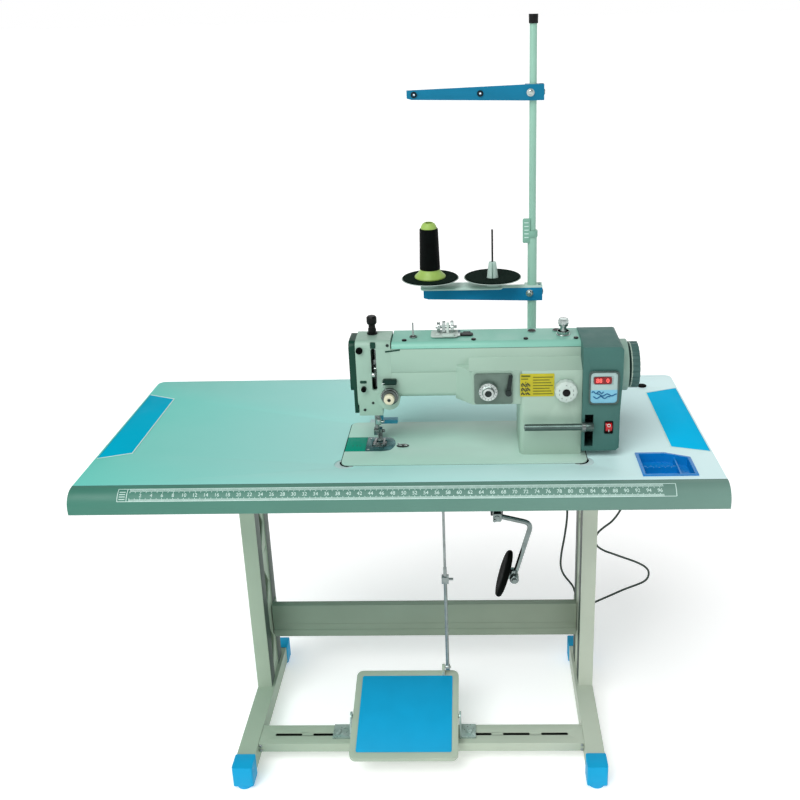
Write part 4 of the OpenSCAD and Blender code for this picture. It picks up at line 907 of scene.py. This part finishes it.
def add_bed_detail():
    """The small oval cover on the bed, the plates' screws and the slide plate's holes."""
    cover = Shape()
    outline = [(1 + 12.5 * math.cos(a), 178 + 7.4 * math.sin(a)) for a in full_turn(36)]
    cover.prism("z", (766.8, 767.9), outline)
    piece("bed_oval", cover, "head", "dark_steel", 0.25)
    screws = Shape()
    for x, y, r, flat, top in ((-4.5, 178, 3.0, 767.9, 768.3), (6.5, 178, 3.0, 767.9, 768.3),
                               (-66, 163, 2.6, 767.1, 767.4), (-66, 212, 2.6, 767.1, 767.4),
                               (-8, 188, 2.6, 767.1, 767.4)):
        screws.turned("z", (x, y), [(767, r), (flat, r), (top, r - 0.6)], 24)
    piece("plate_screws", screws, "head", "chrome")
    holes = Shape()
    for x in (-98, -90, -84):
        holes.turned("z", (x, 180), [(766.9, 1.3), (767.15, 1.3)], 16)
    piece("slide_holes", holes, "slide_plate", "print_dark")


def add_needle_detail():
    """The needle clamp with its screw, and the presser foot's screw and toes."""
    x, y = -46, 192
    clamp = Shape()
    clamp.turned("z", (x, y), [(808.6, 4.8), (809.6, 5.6), (819, 5.6), (820, 4.8)], 32)
    clamp.turned("x", (y, 814), [(-40.6, 2.6), (-35.4, 2.6), (-34.6, 2.0)], 16)
    piece("needle_clamp", clamp, "needle_bar", "chrome", 0.2)
    foot = Shape()
    foot.turned("x", (212.5, 784), [(-42, 3.2), (-37.5, 3.2), (-36.6, 2.4)], 16)
    toe = [(206, 769.9), (206, 771.4), (176, 771.2), (170.4, 774.8), (169.4, 774.2), (172, 769.9)]
    for side in (-1, 1):
        foot.prism("x", (x + side * 8.4 - 2.2, x + side * 8.4 + 2.2), toe)
    piece("presser_foot_detail", foot, "presser", "steel", 0.25)


def add_face_detail():
    """Raised strips and small screws on the dark face cover."""
    y = (167.2, 168.3)
    strip = Shape().prism("y", y, rounded((-52, -42), (976.4, 989), 1.5))
    strip.prism("y", y, [(-24, 968), (4, 971.6), (4, 974), (-24, 971)])
    strip.prism("y", y, rounded((-75, -62), (905.5, 911), 2))
    piece("face_strips", strip, "head", "dark_cover")
    screws = Shape()
    for x, z, r in ((-52, 864.5, 2.6), (-68.4, 850, 2.8), (-19.4, 982, 3.0)):
        screws.turned("y", (x, z), [(166.9, r - 0.7), (167.4, r), (168.3, r)], 24)
    piece("face_screws", screws, "head", "dark_steel")


def add_presser_knob():
    """The ribbed screw that sets the presser foot's pressure."""
    middle, z = (-52, 214), 990
    knob = Shape()
    knob.turned("z", middle, [
        (z + 0.3, 9.8), (z + 3, 9.8), (z + 4, 7.6), (z + 11, 7.6), (z + 12, 6.4), (z + 19, 6.2),
        (z + 21, 8.6), (z + 24, 9.6), (z + 34, 9.6), (z + 36.6, 7.2)],
        72, ribs=18, depth=0.25)
    knob.turned("z", middle, [(976, 6), (z + 1, 6)], 32)
    piece("presser_screw_knob", knob, "presser_screw", "black_plastic",
          replaces=("presser_knob",))


def add_thread_nut():
    """The ribbed nut of the upper thread, on the right of the top cover."""
    middle, z = (316, 205), COVER_Z
    nut = Shape()
    nut.turned("z", middle, [(z, 13), (z + 1.2, 13.6), (z + 2.4, 13)], 40)
    nut.turned("z", middle, [(z + 3, 11.4), (z + 8, 11.6)], 72, ribs=18, depth=0.35)
    nut.turned("z", middle, [
        (z + 19, 7), (z + 22, 9.6), (z + 29, 9.8), (z + 31.6, 8.2), (z + 32.6, 4)],
        72, ribs=18, depth=0.3)
    piece("thread_nut_detail", nut, "head", "chrome")


def add_winder():
    """The bobbin winder's wheel, flanges and bracket, much simplified."""
    axis = (214, 1002)
    winder = Shape()
    for x in (75, 78.6):
        winder.turned("x", axis, [(x, 9.6), (x + 0.9, 9.9), (x + 1.4, 9.6)], 40)
    winder.turned("x", axis, [(100.4, 11.6), (105.6, 11.6)], 72, ribs=24, depth=0.4)
    piece("winder_wheel_detail", winder, "winder", "chrome")
    bracket = Shape()
    bracket.prism("x", (92, 97), [
        (199, 989), (229, 989), (226, 998), (220, 1009), (210, 1011), (204, 1002)])
    for middle in ((110, 222), (76, 206)):
        bracket.turned("z", middle, [(988.6, 4), (991.4, 4), (992, 3.2)], 20)
    bracket.prism("z", (988.6, 990.2), rounded((62, 114), (190, 230), 7))
    bracket.prism("z", (990, 995), rounded((84, 108), (189, 199), 4))
    piece("winder_bracket", bracket, "head", "white_plastic", 0.5)


def add_cover_caps():
    """The caps and screw heads on the top cover."""
    z = COVER_Z
    caps = Shape()
    for x, y, r in ((257, 226, 8.0), (305, 228, 7.0), (28, 200, 7.5)):
        caps.turned("z", (x, y), [(z + 1.6, r), (z + 3.3, r * 0.8)], 28)
    caps.prism("z", (z + 1.4, z + 3.2), rounded((118, 143), (201, 217), 6))
    piece("cover_caps", caps, "head", "black_plastic", 0.3)
    heads = Shape()
    for x in (12, 144, 243, 338):
        heads.turned("z", (x, 182), [(z + 1.4, 4.8), (z + 2.8, 4.2)], 24)
    piece("cover_screw_heads", heads, "head", "black_plastic", 0.2)


def add_reverse_detail():
    """Collars at both ends of the reverse shaft."""
    axis = (113, 834)
    collar = Shape()
    collar.turned("x", axis, [(344, 8.6), (345, 9.6), (351, 9.6), (352, 8.6)], 40)
    collar.turned("x", axis, [(236.6, 4.6), (237.6, 6.3), (239, 6.5)], 40)
    piece("reverse_collar", collar, "reverse", "steel")


add_label()
add_panel()
add_switch_bezel()
add_length_dial()
add_width_dial()
add_tension_detail()
add_bed_detail()
add_needle_detail()
add_face_detail()
add_presser_knob()
add_thread_nut()
add_winder()
add_cover_caps()
add_reverse_detail()


# ---------------------------------------------------------------- knee lifter
def add_knee_lifter():
    """The bent rod with its clamp, the knuckle joint, and the oval pad."""
    y = 105
    bend, knuckle = Vector((251, y, 634)), Vector((217, y, 514))
    start = Vector((190, y, 650))
    radius = 16
    a = bend + (start - bend).normalized() * radius
    c = bend + (knuckle - bend).normalized() * radius
    path = [start]
    for t in range(9):
        k = t / 8
        path.append((1 - k) ** 2 * a + 2 * k * (1 - k) * bend + k * k * c)
    path.append(knuckle)
    rod = Shape().tube(path, 5, 20)
    rod.turned("y", (184, 652), [(92, 5.2), (92.8, 6), (200, 6)], 32)
    rod.prism("y", (94, 116), rounded((176, 193), (644, 661), 4))
    rod.turned("y", (179, 648), [(90.5, 3.6), (94.2, 3.6)], 6)
    piece("knee_rod", rod, "knee_lever", "rod_steel", 0.6, replaces=("knee_lifter",))
    joint = Shape()
    joint.turned("y", (217, 514), [(91, 7.6), (92.4, 9), (117, 9), (118.4, 7.6)], 36)
    joint.turned("y", (217, 514), [(86.4, 5.6), (91, 5.6)], 6)
    joint.turned("x", (y, 518), [(200, 8.6), (209, 8.6), (212, 6.2)], 32)
    joint.turned("z", (214, y), [(519, 7.4), (530, 7.4), (531, 6.4)], 28)
    piece("knee_joint", joint, "knee_lever", "rod_steel", 0.5)
    tilt = math.radians(15.5)
    profile = ((-6.0, 0.86), (-4.6, 0.96), (-1.5, 1.0), (2.0, 0.99), (4.8, 0.94), (6.0, 0.84),
               (6.0, 0.60), (5.0, 0.30))
    rings = []
    for depth, scale in profile:
        ring = []
        for a in full_turn(48):
            across, along = 29.5 * scale * math.sin(a), 52 * scale * math.cos(a)
            ring.append((197 - depth * math.cos(tilt) + along * math.sin(tilt), y + across,
                         521 + depth * math.sin(tilt) + along * math.cos(tilt)))
        rings.append(ring)
    piece("knee_pad", Shape().loft(rings), "knee_lever", "rubber")


add_knee_lifter()
